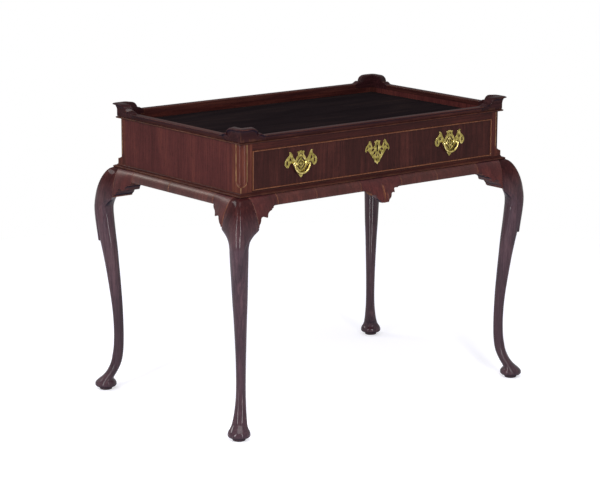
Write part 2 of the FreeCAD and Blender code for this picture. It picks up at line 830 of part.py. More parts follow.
def leg_shape():
    """The whole leg at the back right corner, before its mortises are cut."""
    floor = float(case_floor)
    swell = float(size("knee_swell"))
    back = float(size("knee_back"))
    width = float(size("knee_half_width"))
    calf = 0.56 * floor
    ankle = float(size("ankle_height"))
    calf_front = float(size("calf_front"))
    calf_back = -float(size("calf_back"))
    calf_width = float(size("calf_half_width"))
    ankle_front = float(size("ankle_front"))
    ankle_back = -float(size("ankle_back"))
    ankle_width = float(size("ankle_half_width"))
    toe = float(size("toe_radius"))
    reach = float(size("toe_reach"))
    depth = float(size("knee_depth"))
    inner = -float(post) * math.sqrt(2.0) - float(ledge) * math.sqrt(2.0)

    def between(height, calf_value, ankle_value):
        share = smooth((calf - height) / (calf - ankle))
        return calf_value + (ankle_value - calf_value) * share

    rings = [
        leg_ring(floor - depth + 4.0, inner * 0.72, swell - 6.0, width + 14.0, 1.25, 0.48),
        leg_ring(floor - depth - 4.0, inner * 0.38, swell - 1.5, width + 9.0, 1.35, 0.52),
        leg_ring(floor - depth - 13.0, inner * 0.12, swell - 0.2, width + 3.5, 1.5),
        leg_ring(floor - 106.0, back, swell - 0.8, width - 1.0, 1.6),
        leg_ring(floor - 134.0, back - 2.2, swell - 5.2, width - 3.2, 1.65),
        leg_ring(floor - 164.0, back - 4.7, swell - 10.3, width - 4.0, 1.7),
        leg_ring(calf + 46.0, calf_back + 3.3, calf_front + 7.5, calf_width + 1.5, 1.72),
        leg_ring(calf, calf_back, calf_front, calf_width, 1.75)]
    for share in (0.25, 0.5, 0.75, 1.0):
        height = calf + (ankle - calf) * share
        rings.append(leg_ring(height, between(height, calf_back, ankle_back),
                              between(height, calf_front, ankle_front),
                              between(height, calf_width, ankle_width), 1.8))
    rings += [
        leg_ring(102.0, ankle_back + 1.2, ankle_front + 1.9, ankle_width + 0.2, 1.85),
        leg_ring(71.0, ankle_back + 6.1, ankle_front + 7.7, ankle_width + 1.9, 1.9),
        leg_ring(50.0, ankle_back + 12.8, ankle_front + 16.6, ankle_width + 4.3, 1.95),
        leg_ring(34.0, reach - 27.0, reach + 9.0, toe - 7.5, 2.0, 0.6),
        leg_ring(22.0, reach - 26.5, reach + 21.5, toe - 2.0, 2.0, 0.52),
        leg_ring(float(size("toe_height")), reach - toe + 0.4, reach + toe - 0.4, toe - 0.4, 2.0)]
    leg = Part.makeLoft(rings, True)

    centre = diagonal(reach, 0.0, 0.0)
    pad = float(size("pad_radius"))
    pad_top = float(size("pad_height"))
    toe_height = float(size("toe_height"))
    profile = [Vector(0, 0, 0), Vector(pad, 0, 0), Vector(pad, 0, pad_top),
               (Vector(pad + 8.5, 0, pad_top + 1.2), Vector(toe, 0, toe_height)),
               (Vector(toe - 0.8, 0, toe_height + 3.0), Vector(toe - 4.5, 0, toe_height + 7.0)),
               Vector(0, 0, toe_height + 7.0), Vector(0, 0, 0)]
    edges = []
    place = profile[0]
    for item in profile[1:]:
        if isinstance(item, tuple):
            edges.append(Part.Arc(place, item[0], item[1]).toShape())
            place = item[1]
        else:
            edges.append(Part.makeLine(place, item))
            place = item
    foot = Part.Face(Part.Wire(edges)).revolve(Vector(), Vector(0, 0, 1), 360)
    foot.translate(centre)
    return [knee_block(), leg, foot]


def lappet_shape():
    """The raised panel down the front of the knee, ending in a point that kicks out."""
    floor = float(case_floor)
    drop_end = float(size("lappet_drop"))
    raise_end = float(size("lappet_raise"))
    half = float(size("lappet_half_width"))
    swell = float(size("knee_swell"))
    wires = []
    for share in (0.0, 0.2, 0.4, 0.6, 0.8, 0.93, 1.0):
        drop = 92.0 + (drop_end - 92.0) * share
        height = floor - drop
        front = swell + 0.2 - raise_end * share ** 0.9
        width = half * (1.15 - 0.45 * share) if share < 0.9 else half * (0.62 if share < 0.95 else 0.25)
        inner = front - 14.0
        points = [diagonal(inner, -width, height), diagonal(front - width * 0.62, -width, height),
                  diagonal(front - 0.6, -width * 0.3, height), diagonal(front, 0.0, height),
                  diagonal(front - 0.6, width * 0.3, height),
                  diagonal(front - width * 0.62, width, height), diagonal(inner, width, height)]
        wires.append(Part.makePolygon(points + [points[0]]))
    return Part.makeLoft(wires, True, True)


def post_shape():
    """The square post, notched for the tray board, its corner worked as a quarter column."""
    square = float(post)
    height = float(size("case_height"))
    corner = Vector(float(post_inner_x), float(post_inner_y), float(case_floor))
    body = Part.makeBox(square, square, height, corner)
    notch = square - float(lip)
    body = body.cut(Part.makeBox(notch, notch, height, Vector(corner.x, corner.y, float(tray_seat))))
    radius = float(size("column_radius"))
    foot = float(case_floor) + float(size("column_stop"))
    top = float(bead_floor)
    outer = Vector(float(half_length), float(half_depth), foot)
    waste = Part.makeBox(radius, radius, top - foot, outer - Vector(radius, radius, 0))
    column = Part.makeCylinder(radius - float(size("column_quirk")), top - foot,
                               outer - Vector(radius, radius, 0))
    stop = float(size("column_stop_length"))
    ramp = Part.Face(Part.makePolygon([Vector(2.0, 0, -1.0), Vector(2.0, 0, 0.0),
                                       Vector(-radius, 0, stop), Vector(-radius, 0, -1.0),
                                       Vector(2.0, 0, -1.0)]))
    wedge = ramp.extrude(Vector(0, radius * 4, 0))
    wedge.translate(Vector(0, -radius * 2, 0))
    wedge.rotate(Vector(), Vector(0, 0, 1), 45)
    wedge.translate(outer)
    return body.cut(waste.cut(column).cut(wedge))


leg_parts = leg_shape()
leg_blank = leg_parts[0].multiFuse([post_shape(), lappet_shape()] + leg_parts[1:]).removeSplitter()
blank_back_right = loose("blank_back_right", leg_blank)
blank_back_left = mirror("blank_back_left", blank_back_right, "x")
blank_front_right = mirror("blank_front_right", blank_back_right, "y")
blank_front_left = mirror("blank_front_left", blank_front_right, "x")
keep(cut("leg_front_left", blank_front_left, end_rail_left, front_top_blank, front_bottom_rail),
     cut("leg_front_right", blank_front_right, end_rail_right, front_top_blank, front_bottom_rail),
     cut("leg_back_left", blank_back_left, end_rail_left, back_rail),
     cut("leg_back_right", blank_back_right, end_rail_right, back_rail))

# ----------------------------------------------------------------------------
# Inside the case: runners with their guides, kickers, stops and glue blocks
# ----------------------------------------------------------------------------
runner_inner = rail_inner_x - size("runner_width")
guide_top = opening_floor + size("guide_height")
runner_outline = [(-rail_inner_x, case_floor), (-runner_inner, case_floor),
                  (-runner_inner, opening_floor), (-post_inner_x, opening_floor),
                  (-post_inner_x, guide_top), (-rail_inner_x, guide_top)]
runner_left = bar("runner_left", "y", (runner_outline, -bottom_rail_back, post_inner_y))
drawer_runners = group("drawer_runners", runner_left, mirror("runner_right", runner_left, "x"))
kicker_left = block("kicker_left", (-rail_inner_x, -runner_inner), (-post_inner_y, post_inner_y),
                    (board_underside - size("kicker_thickness"), board_underside))
drawer_kickers = group("drawer_kickers", kicker_left, mirror("kicker_right", kicker_left, "x"))

front_back_face = half_depth - size("drawer_front_thickness")
stop_face = front_back_face - size("drawer_gap")
stop_from = size("handle_spacing") / 2
stop_left = block("stop_left", (-(stop_from + size("stop_width")), -stop_from),
                  (-stop_face, -(stop_face - size("stop_depth"))),
                  (opening_floor, opening_floor + size("stop_thickness")))
drawer_stops = group("drawer_stops", stop_left, mirror("stop_right", stop_left, "x"))

blocks = []
block_half = size("block_length") / 2
thick = size("block_thickness")
for number, share in enumerate((-0.72, -0.42, 0.42, 0.72)):
    middle = front_bracket_end * share
    blocks.append(block(f"front_block_{number}", (middle - block_half, middle + block_half),
                        (-rail_inner_y, -(rail_inner_y - thick)), (case_floor - thick, case_floor)))
for number, share in enumerate((-0.6, 0.6)):
    middle = end_bracket_end * share
    left_block = block(f"left_block_{number}", (-rail_inner_x, -(rail_inner_x - thick)),
                       (middle - block_half, middle + block_half), (case_floor - thick, case_floor))
    blocks += [left_block, mirror(f"right_block_{number}", left_block, "x")]
for number, share in enumerate((-0.7, 0.0, 0.7)):
    middle = front_bracket_end * share
    blocks.append(block(f"back_block_{number}", (middle - block_half, middle + block_half),
                        (rail_inner_y - thick, rail_inner_y), (case_floor - thick, case_floor + thick)))
keep(drawer_runners, drawer_kickers, drawer_stops, group("glue_blocks", *blocks))

# ----------------------------------------------------------------------------
# Drawer: lapped dovetails at the front, through dovetails at the back
# ----------------------------------------------------------------------------
drawer_half = post_inner_x - size("drawer_clearance")
drawer_floor = opening_floor + size("drawer_gap")
drawer_top = opening_top - size("drawer_gap")
drawer_middle = (drawer_floor + drawer_top) / 2
side_thickness = size("drawer_side_thickness")
side_inner = drawer_half - side_thickness
side_top = board_underside - size("kicker_thickness") - size("kicker_gap")
drawer_back = rail_inner_y - size("drawer_back_gap")
back_front = drawer_back - size("drawer_back_thickness")
bottom_floor = drawer_floor + size("drawer_bottom_rise")
bottom_top = bottom_floor + size("drawer_bottom_thickness")
groove = size("groove_depth")
TAILS = 4


def side_outline():
    """The drawer side seen from its end board: tails at the front and at the back."""
    pitch = (side_top - drawer_floor) / TAILS
    flare = size("tail_flare")
    front_root = -front_back_face
    front_tip = front_root - size("tail_length")
    corners = [(front_root, drawer_floor), (back_front, drawer_floor)]
    for number in range(TAILS):
        floor = drawer_floor + pitch * (number + 0.25)
        top = drawer_floor + pitch * (number + 0.75)
        corners += [(back_front, floor), (drawer_back, floor - flare), (drawer_back, top + flare),
                    (back_front, top)]
    corners += [(back_front, side_top), (front_root, side_top)]
    for number in reversed(range(TAILS)):
        floor = drawer_floor + pitch * (number + 0.25)
        top = drawer_floor + pitch * (number + 0.75)
        corners += [(front_root, top), (front_tip, top + flare), (front_tip, floor - flare),
                    (front_root, floor)]
    return corners


bottom_half = side_inner + groove
drawer_bottom = block("drawer_bottom", (-bottom_half, bottom_half),
                      (-(front_back_face + groove), drawer_back), (bottom_floor, bottom_top))
side_blank = bar("side_blank", "x", (side_outline(), -drawer_half, -side_inner))
drawer_side_left = cut("drawer_side_left", side_blank, drawer_bottom)
drawer_side_right = mirror("drawer_side_right", drawer_side_left, "x")
back_blank = block("back_blank", (-drawer_half, drawer_half), (back_front, drawer_back),
                   (bottom_top, side_top))
drawer_back_board = cut("drawer_back", back_blank, drawer_side_left, drawer_side_right)

bead_width = size("cockbead_width")
bead_depth = size("cockbead_depth")
proud = size("cockbead_proud")
field = box_outline((-(drawer_half - bead_width), drawer_half - bead_width),
                    (drawer_floor + bead_width, drawer_top - bead_width))
whole = box_outline((-drawer_half, drawer_half), (drawer_floor, drawer_top))
bead_back = half_depth + proud - bead_depth
front_blank = bar("front_blank", "y", (field, -half_depth, -front_back_face),
                  (whole, -bead_back, -front_back_face))

lock_half = size("lock_width") / 2
lock_floor = drawer_top - size("lock_height")
lock_front = front_back_face + size("lock_depth")
lock_block = block("lock_block", (-lock_half, lock_half), (-lock_front, -front_back_face),
                   (lock_floor, drawer_top))
bolt_top = drawer_top - size("bolt_sink")
bolt_floor = bolt_top - size("bolt_height")
bolt_space = block("bolt_space", (-(bolt_half + bolt_gap), bolt_half + bolt_gap),
                   (-(bolt_front + bolt_gap), -(bolt_back - bolt_gap)),
                   (bolt_floor - bolt_gap, drawer_top))
keyhole_height = drawer_middle + size("keyhole_rise")
key_top = keyhole_height + size("keyhole_length") / 2 - size("keyhole_radius")
key_floor = keyhole_height - size("keyhole_length") / 2
key_slot_half = size("keyhole_slot") / 2
key_depth = size("drawer_front_thickness")
keyhole_round = rod("keyhole_round", size("keyhole_radius"), key_depth,
                    (ZERO, -(half_depth + size("cockbead_depth")), key_top), "y")
keyhole_slot = block("keyhole_slot", (-key_slot_half, key_slot_half),
                     (-(half_depth + size("cockbead_depth")), -(half_depth - key_depth * 0.75)),
                     (key_floor, key_top))
keyhole = fuse("keyhole", keyhole_round, keyhole_slot)
lock_case = cut("lock_case", lock_block, bolt_space, keyhole)
bolt = block("lock_bolt", (-bolt_half, bolt_half), (-bolt_front, -bolt_back),
             (bolt_floor, bolt_top))

cockbead_nose = bead_width / 2 * 1.0001
bead_face = half_depth + proud


def cockbead(label, axis, low, high, edge, way):
    """A strip round-nosed at the front; edge is its outer plane, way points inwards."""
    other = edge + bead_width * way
    first, second = (edge, other) if way > 0 else (other, edge)
    nose_line = -(bead_face - bead_width / 2)
    if axis == "x":
        outline = [(nose_line, second, cockbead_nose), (nose_line, first), (-bead_back, first),
                   (-bead_back, second)]
    else:
        outline = [(first, nose_line, cockbead_nose), (second, nose_line), (second, -bead_back),
                   (first, -bead_back)]
    return bar(label, axis, (outline, low, high))


cockbeads = group("cockbeads",
                  cockbead("cockbead_top", "x", -drawer_half, drawer_half, drawer_top, -1.0),
                  cockbead("cockbead_bottom", "x", -drawer_half, drawer_half, drawer_floor, 1.0),
                  cockbead("cockbead_left", "z", drawer_floor + bead_width, drawer_top - bead_width,
                           -drawer_half, 1.0),
                  cockbead("cockbead_right", "z", drawer_floor + bead_width, drawer_top - bead_width,
                           drawer_half, -1.0))

# ----------------------------------------------------------------------------
# Handles: pierced plate, two turned posts with nuts inside, and a hanging bail
# ----------------------------------------------------------------------------
pivot_height = drawer_middle + size("pivot_rise")
pivot_face = half_depth + size("pivot_proud")
post_half = size("post_spacing") / 2
shank = size("post_shank_radius")
thickness = size("plate_thickness")
plate_face = half_depth + thickness
nut = size("nut_thickness")
pin = size("pin_radius")
pin_hole = pin + size("pin_clearance")
handle_at = size("handle_spacing") / 2
post_holes = []
for number, (side, way) in enumerate(((-1.0, -1.0), (-1.0, 1.0), (1.0, -1.0), (1.0, 1.0))):
    place = handle_at * side + post_half * way
    post_holes.append(rod(f"post_hole_{number}", shank + size("hole_clearance"),
                          size("drawer_front_thickness") + size("cockbead_depth"),
                          (place, -(plate_face + 5.0), pivot_height), "y"))
pins = []
for number, (across, up) in enumerate(((-21.0, 15.5), (21.0, 15.5), (0.0, -34.0))):
    pins.append(rod(f"escutcheon_pin_{number}", size("nail_radius"),
                    size("nail_length") + size("nail_head"),
                    (Size(across, repr(across)), -(plate_face + size("nail_head")),
                     keyhole_height + up), "y"))
drawer_front = cut("drawer_front", front_blank, drawer_side_left, drawer_side_right, drawer_bottom,
                   lock_block, keyhole, *post_holes, *pins)

posts = []
nuts = []
for number, (side, way) in enumerate(((-1.0, -1.0), (-1.0, 1.0), (1.0, -1.0), (1.0, 1.0))):
    place = handle_at * side + post_half * way
    radius = size("post_ball_radius")
    head = ball(f"post_head_{number}", radius, (place, -pivot_face, pivot_height))
    collar = rod(f"post_collar_{number}", radius * 1.1, Size(1.2, "1.2"),
                 (place, -(plate_face + 1.2), pivot_height), "y")
    neck = rod(f"post_neck_{number}", shank, size("pivot_proud") + size("drawer_front_thickness") + nut
               + 1.0, (place, -pivot_face, pivot_height), "y")
    whole_post = fuse(f"post_whole_{number}", head, collar, neck)
    eye = rod(f"post_eye_{number}", pin_hole, radius * 4, (place - radius * 2, -pivot_face,
                                                         pivot_height), "x")
    posts.append(cut(f"post_{number}", whole_post, eye))
    disc = rod(f"nut_disc_{number}", size("nut_radius"), nut, (place, -front_back_face, pivot_height),
               "y")
    bore = rod(f"nut_bore_{number}", shank, nut, (place, -front_back_face, pivot_height), "y")
    nuts.append(cut(f"nut_{number}", disc, bore))
keep(drawer_front, drawer_side_left, drawer_side_right, drawer_back_board, drawer_bottom, cockbeads,
     group("handle_posts", *posts), group("handle_nuts", *nuts), lock_case, bolt)


def bail(label, side):
    """A half-ring of wire hung by two pins that point inwards through the post heads."""
    ring_radius = size("bail_radius")
    wire = size("bail_wire_radius")
    centre = handle_at * side
    ring = doc.addObject("Part::Torus", f"{label}_ring")
    bind(ring, "Radius1", ring_radius)
    bind(ring, "Radius2", wire)
    ring.Angle3 = 180.0
    ring.Placement = FreeCAD.Placement(Vector(), FreeCAD.Rotation(Vector(1, 0, 0), -90))
    for name, value in zip("xyz", (centre, -pivot_face, pivot_height)):
        bind(ring, f"Placement.Base.{name}", value)
    pieces = [ring]
    for way, end in ((-1.0, "left"), (1.0, "right")):
        pieces.append(ball(f"{label}_elbow_{end}", wire, (centre + ring_radius * way, -pivot_face,
                                                         pivot_height)))
        reach = ring_radius - post_half + size("post_ball_radius") * 0.8
        start = centre + ring_radius * way if way < 0 else centre + ring_radius - reach
        pieces.append(rod(f"{label}_pin_{end}", pin, reach, (start, -pivot_face, pivot_height), "x"))
    return fuse(label, *pieces)


keep(bail("bail_left", -1.0), bail("bail_right", 1.0))


# ----------------------------------------------------------------------------
# Pierced brasses: outlines by eye, given for the right half about the centre line
# ----------------------------------------------------------------------------
def brass_shape(centre, half_outline, windows, bores):
    """A flat plate of mirrored outline with mirrored windows and round bores."""
    face = -float(half_depth)
    thick_plate = float(thickness)

    def at(point, side=1.0):
        return Vector(centre[0] + side * point[0], face, centre[1] + point[1])

    def slab(outlines):
        edges = []
        for start, item in zip(outlines, outlines[1:]):
            begin = start[-2:]
            if len(item) == 4:
                edges.append((begin, item[:2], item[2:]))
            else:
                edges.append((begin, None, item))
        return edges

    def solid(edges, side):
        shapes = []
        for begin, through, stop in edges:
            if through is None:
                shapes.append(Part.makeLine(at(begin, side), at(stop, side)))
            else:
                shapes.append(Part.Arc(at(begin, side), at(through, side), at(stop, side)).toShape())
        return shapes

    closing = [(half_outline[-1][-2:], None, half_outline[0])]
    right = Part.Face(Part.Wire(solid(slab(half_outline) + closing, 1.0)))
    left = Part.Face(Part.Wire(solid(slab(half_outline) + closing, -1.0)))
    plate = right.extrude(Vector(0, -thick_plate, 0)).fuse(left.extrude(Vector(0, -thick_plate, 0)))
    for window in windows:
        for side in (1.0, -1.0):
            edges = solid(slab(window + [window[0]]), side)
            plate = plate.cut(Part.Face(Part.Wire(edges)).extrude(Vector(0, -thick_plate, 0)))
    for across, up, radius in bores:
        for side in (1.0, -1.0):
            bored = Part.makeCylinder(radius, thick_plate, at((across, up), side), Vector(0, -1, 0))
            plate = plate.cut(bored)
    return plate.removeSplitter()


HANDLE_OUTLINE = [
    (0.0, 29.5), (3.5, 29.0), (5.0, 27.0), (8.5, 28.5), (10.5, 26.0), (8.0, 23.0), (9.5, 18.0),
    (13.0, 15.0), (14.5, 11.0), (17.5, 7.5), (19.5, 12.0), (22.5, 15.5), (24.5, 21.0),
    (28.0, 22.0, 27.0, 27.0), (31.0, 29.5), (35.5, 28.5), (33.0, 25.5), (34.5, 20.0),
    (41.5, 15.5, 47.0, 8.0), (48.0, -1.0, 42.0, -7.0), (36.5, -7.5, 34.0, -3.5), (31.0, 2.0),
    (26.5, 3.0), (25.0, -4.0), (23.5, -14.0, 15.0, -21.5), (9.0, -26.0, 5.0, -27.0), (0.0, -34.0)]
HANDLE_WINDOWS = [
    [(2.5, 19.5), (5.5, 14.5), (2.5, 16.5)],
    [(2.0, 2.0), (2.0, 7.5), (5.5, 2.0)],
    [(2.0, -2.0), (5.5, -2.0), (2.0, -7.5)],
    [(8.0, 8.0), (12.0, 3.5), (10.5, 1.5), (7.5, 4.5)],
    [(9.0, -3.5), (12.5, -5.0), (10.0, -9.0), (7.0, -6.5)],
    [(29.0, 10.0), (30.5, 17.5), (33.0, 12.0)]]
ESCUTCHEON_OUTLINE = [
    (0.0, 19.5), (3.0, 18.5), (4.5, 17.0), (8.0, 18.5), (9.0, 15.5), (7.0, 13.0), (8.0, 7.0),
    (12.0, 2.5), (15.0, 5.5), (18.0, 11.0), (20.5, 18.0), (23.5, 19.5), (26.5, 17.0), (27.5, 12.5),
    (33.5, 8.0, 36.5, 1.5), (38.0, -5.0), (34.5, -7.5), (31.5, -2.5), (27.5, -4.0), (24.0, -9.0),
    (19.0, -14.5), (14.0, -22.0), (8.5, -27.5), (7.5, -33.0), (3.5, -33.5), (0.0, -39.0)]
ESCUTCHEON_WINDOWS = [
    [(21.5, 3.5), (23.0, 10.5), (25.5, 5.0)],
    [(10.0, -5.5), (14.5, -8.5), (12.0, -13.0), (8.0, -9.5)],
    [(1.0, -17.5), (5.0, -15.5), (4.0, -20.5)]]

plates = []
for side, name in ((-1.0, "left"), (1.0, "right")):
    shape = brass_shape((side * float(handle_at), float(pivot_height)), HANDLE_OUTLINE, HANDLE_WINDOWS,
                        [(float(post_half), 0.0, float(shank) + float(size("hole_clearance")))])
    plates.append(loose(f"plate_{name}", shape))
escutcheon_blank = loose("escutcheon_blank", brass_shape(
    (0.0, float(keyhole_height)), ESCUTCHEON_OUTLINE, ESCUTCHEON_WINDOWS, []))
escutcheon = cut("escutcheon", escutcheon_blank, keyhole, *pins)
screws = []
for number, (across, up) in enumerate(((-0.8, 0.2), (0.8, 0.2), (-0.8, 0.8), (0.8, 0.8))):
    screws.append(rod(f"lock_screw_{number}", Size(2.5, "2.5"), Size(1.2, "1.2"),
                      (lock_half * across, -front_back_face, lock_floor + size("lock_height") * up),
                      "y"))
keep(group("handle_plates", *plates), escutcheon, group("escutcheon_pins", *pins),
     group("lock_screws", *screws))

# ----------------------------------------------------------------------------
# Check every object, then write one file per piece
# ----------------------------------------------------------------------------
doc.recompute()
troubled = [item.Label for item in doc.Objects if {"Invalid", "Error"} & set(item.State)]
if troubled:
    raise RuntimeError(f"these objects failed: {troubled}")
for label, piece in nodes.items():
    if piece.Shape.isNull() or not piece.Shape.isValid():
        raise RuntimeError(f"{label} has no valid shape")
os.makedirs("parts", exist_ok=True)
for label, piece in nodes.items():
    piece.Shape.exportStep(os.path.join("parts", f"{label}.step"))
print(f"{len(nodes)} pieces written")
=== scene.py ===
"""Looks of the tray top tea table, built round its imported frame.

Shapes are worked out in millimetres, as arrays, and turned to metres as each mesh is made.
The front is towards -Y and the origin lies on the floor under the table's middle.
"""
import math

import bpy
import numpy as np
from mathutils import Matrix, Vector


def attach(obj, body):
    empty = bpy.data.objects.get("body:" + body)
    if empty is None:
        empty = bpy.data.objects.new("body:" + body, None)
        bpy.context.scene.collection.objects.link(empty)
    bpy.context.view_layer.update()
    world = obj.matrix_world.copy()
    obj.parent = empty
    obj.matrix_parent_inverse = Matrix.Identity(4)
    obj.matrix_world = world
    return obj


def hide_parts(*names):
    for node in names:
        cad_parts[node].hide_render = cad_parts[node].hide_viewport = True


MM = 0.001
ROOT2 = math.sqrt(2.0)
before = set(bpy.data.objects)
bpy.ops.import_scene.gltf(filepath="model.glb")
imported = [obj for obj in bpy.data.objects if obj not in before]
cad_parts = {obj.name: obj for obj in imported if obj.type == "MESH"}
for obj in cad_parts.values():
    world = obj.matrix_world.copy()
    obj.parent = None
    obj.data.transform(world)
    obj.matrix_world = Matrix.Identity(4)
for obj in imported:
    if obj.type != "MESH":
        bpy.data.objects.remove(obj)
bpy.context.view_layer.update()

# The frame's planes, in millimetres.
HALF_LENGTH = 402.0
HALF_DEPTH = 241.5
CASE_FLOOR = 554.0
CASE_TOP = 678.0
POST = 32.0
LEDGE = 9.0
RAIL = 20.0
LIP = 12.0                                         # rail left outside the tray board
TRAY_SEAT = 662.0
RIM = 12.0                                         # height over the case, as the lobe's is
LOBE = 32.0
LOBE_OUT = 11.0
LOBE_LENGTH = 80.0
LOBE_LEVEL = 31.0                                  # from the lip's corner, where the crown falls
LOBE_CROWN = 55.0                                  # and where it ends in a notch
LOBE_NOTCH = 4.2                                   # height of the notch over the rim
APRON = 24.5
KNEE_JOINT = 6.0                                   # knee block's overhang past the post
FRONT_BRACKET = 66.0
END_BRACKET = 55.0
PENDANT = 62.0                                     # half its length
SHELL = 13.0                                       # thickness of the pendant's lower part
HAIR = 0.02                                        # left open between blocks side by side
HANDLE_X, HANDLE_Z = 230.0, 614.0
BAIL_PIN = 16.6                                    # from a handle's middle to its posts
BAIL_OUT = 7.0                                     # from the drawer's face to the bail
PLATE = 1.5
LONG_SIDES, SHORT_SIDES = ("front", "back"), ("left", "right")
SIDES = LONG_SIDES + SHORT_SIDES
WAYS = (-1.0, 1.0)
# Each corner by its end and side, and which way it lies along X and Y.
CORNERS = [(f"{end}_{side}", end, side, x, y) for side, x in zip(SHORT_SIDES, WAYS)
           for end, y in zip(LONG_SIDES, WAYS)]


# ---- Shapes as arrays ----
def smooth(share):
    """Rises from 0 to 1 with level ends: 3 t squared less 2 t cubed."""
    share = np.clip(share, 0.0, 1.0)
    return share * share * (3.0 - 2.0 * share)


def angles(start, stop, count):
    """Evenly spaced angles, given in half turns."""
    return np.linspace(start, stop, count) * math.pi


def whole_turn(count):
    """Angles spaced evenly once round a circle, without the last."""
    return np.linspace(0.0, 2.0 * math.pi, count, endpoint=False)


def through(table, places):
    """Each column of a table at new places: cubic pieces that share their slopes."""
    table = np.asarray(table, float)
    knots, values = table[:, 0], table[:, 1:]
    slopes = np.gradient(values, knots, axis=0)
    left = np.clip(np.searchsorted(knots, places, side="right") - 1, 0, len(knots) - 2)
    step = (knots[left + 1] - knots[left])[:, None]
    part = ((places - knots[left]) / step[:, 0])[:, None]
    rest = 1.0 - part
    return ((1.0 + 2.0 * part) * rest ** 2 * values[left] + part * rest ** 2 * step * slopes[left]
            + part ** 2 * (3.0 - 2.0 * part) * values[left + 1]
            - part ** 2 * rest * step * slopes[left + 1]).T


def place(side, along, out, up):
    """Points given along a side of the case, out of its face and up from the floor."""
    along, out, up = np.broadcast_arrays(along, out, up)
    if side in LONG_SIDES:
        way = -1.0 if side == "front" else 1.0
        return np.stack([along, way * (HALF_DEPTH + out), up], -1)
    way = -1.0 if side == "left" else 1.0
    return np.stack([way * (HALF_LENGTH + out), along, up], -1)


def half_run(side):
    """Half the case's length or depth."""
    return HALF_LENGTH if side in LONG_SIDES else HALF_DEPTH


def loft(sections):
    """Each closed section is joined to the next by quads, and a flat face shuts each end."""
    rows, count = sections.shape[:2]
    index = np.arange(rows * count).reshape(rows, count)
    ahead = np.roll(index, -1, 1)
    quads = np.stack([index[:-1], ahead[:-1], ahead[1:], index[1:]], -1).reshape(-1, 4)
    return sections.reshape(-1, 3), [quads, index[:1, ::-1], index[-1:]]


def joined(*shapes):
    """Several (points, faces) as one."""
    points, faces, count = [], [], 0
    for shape_points, shape_faces in shapes:
        points.append(shape_points)
        faces += [rows + count for rows in shape_faces]
        count += len(shape_points)
    return np.concatenate(points), faces


def mirrored(shape, x, y):
    """The shape with its X and Y multiplied by 1 or -1."""
    return shape[0] * np.array([x, y, 1.0]), shape[1]


def outward(points, faces):
    """The faces turned so that the signed volume of fans from their first corners is positive.

    It judges the piece as a whole: where mirrored shells are joined, some stay inside out.
    """
    volume = 0.0
    for rows in faces:
        first = points[rows[:, 0]]
        for corner in range(1, rows.shape[1] - 1):
            second, third = points[rows[:, corner]], points[rows[:, corner + 1]]
            volume += np.einsum("ij,ij->", first, np.cross(second, third))
    return faces if volume > 0 else [rows[:, ::-1] for rows in faces]


def bend(mesh):
    """How sharply each vertex stands out, from its edges shorter than 4 mm.

    Three times the mean unit vector to its neighbours, against its normal, from 0 to 1.
    """
    places = np.empty(len(mesh.vertices) * 3)
    mesh.vertices.foreach_get("co", places)
    places = places.reshape(-1, 3)
    edges = np.empty(len(mesh.edges) * 2, int)
    mesh.edges.foreach_get("vertices", edges)
    edges = edges.reshape(-1, 2)
    normals = np.empty(len(mesh.vertices) * 3)
    mesh.vertices.foreach_get("normal", normals)
    ahead = places[edges[:, 1]] - places[edges[:, 0]]
    length = np.linalg.norm(ahead, axis=1)
    edges, ahead = edges[length < 4.0 * MM], ahead[length < 4.0 * MM]
    ahead /= np.maximum(np.linalg.norm(ahead, axis=1, keepdims=True), 1e-9)
    total = np.zeros_like(places)
    count = np.zeros(len(places))
    np.add.at(total, edges[:, 0], ahead)
    np.add.at(total, edges[:, 1], -ahead)
    np.add.at(count, edges.ravel(), 1.0)
    mean = total / np.maximum(count, 1.0)[:, None]
    sharpness = -np.einsum("ij,ij->i", mean, normals.reshape(-1, 3)) * 3.0
    return np.where(count >= 2.0, np.clip(sharpness, 0.0, 1.0), 0.0)


def finished(name, mesh, material, body, stands_for, crease):
    """The object for a mesh, its sharp edges marked in an attribute for wear and painted glints,
    riding on its body.
    """
    mesh.shade_smooth()
    mesh.set_sharp_from_angle(angle=math.radians(crease))
    wear_and_glint = mesh.attributes.new("wear_and_glint", "FLOAT", "POINT")
    wear_and_glint.data.foreach_set("value", bend(mesh).astype(np.float32))
    mesh.materials.clear()
    mesh.materials.append(material)
    piece = bpy.data.objects.new(name, mesh)
    bpy.context.scene.collection.objects.link(piece)
    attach(piece, body)
    if stands_for:
        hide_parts(*stands_for)
    return piece


def solid(name, shape, material, body, stands_for, crease):
    """A piece from points in millimetres and rows of face corners."""
    points, faces = shape
    faces = outward(points, faces)
    mesh = bpy.data.meshes.new(name)
    mesh.from_pydata((points * MM).tolist(), [], [row for rows in faces for row in rows.tolist()])
    return finished(name, mesh, material, body, stands_for, crease)


def stand_in(node, made, shape, material, body="table", crease=35.0):
    """The piece shown for a node of the frame, named after it and how it is made."""
    return solid(f"{node}_{made}", shape, material, body, [node], crease)


# ---- Materials ----
def linear(code):
    """An sRGB hex colour as linear red, green, blue and alpha."""
    parts = [int(code[n:n + 2], 16) / 255.0 for n in (1, 3, 5)]
    return (*[c / 12.92 if c <= 0.04045 else ((c + 0.055) / 1.055) ** 2.4 for c in parts], 1.0)


def add(tree, kind, inputs=None, **properties):
    """Adds a node, sets its properties, and gives each named input a value or a link.

    A node given as a value stands for its first output in use.
    """
    node = tree.nodes.new("ShaderNode" + kind)
    for name, value in properties.items():
        setattr(node, name, value)
    for name, value in (inputs or {}).items():
        if isinstance(value, bpy.types.Node):
            value = next(output for output in value.outputs if output.enabled)
        if isinstance(value, bpy.types.NodeSocket):
            tree.links.new(value, node.inputs[name])
        else:
            node.inputs[name].default_value = value
    return node


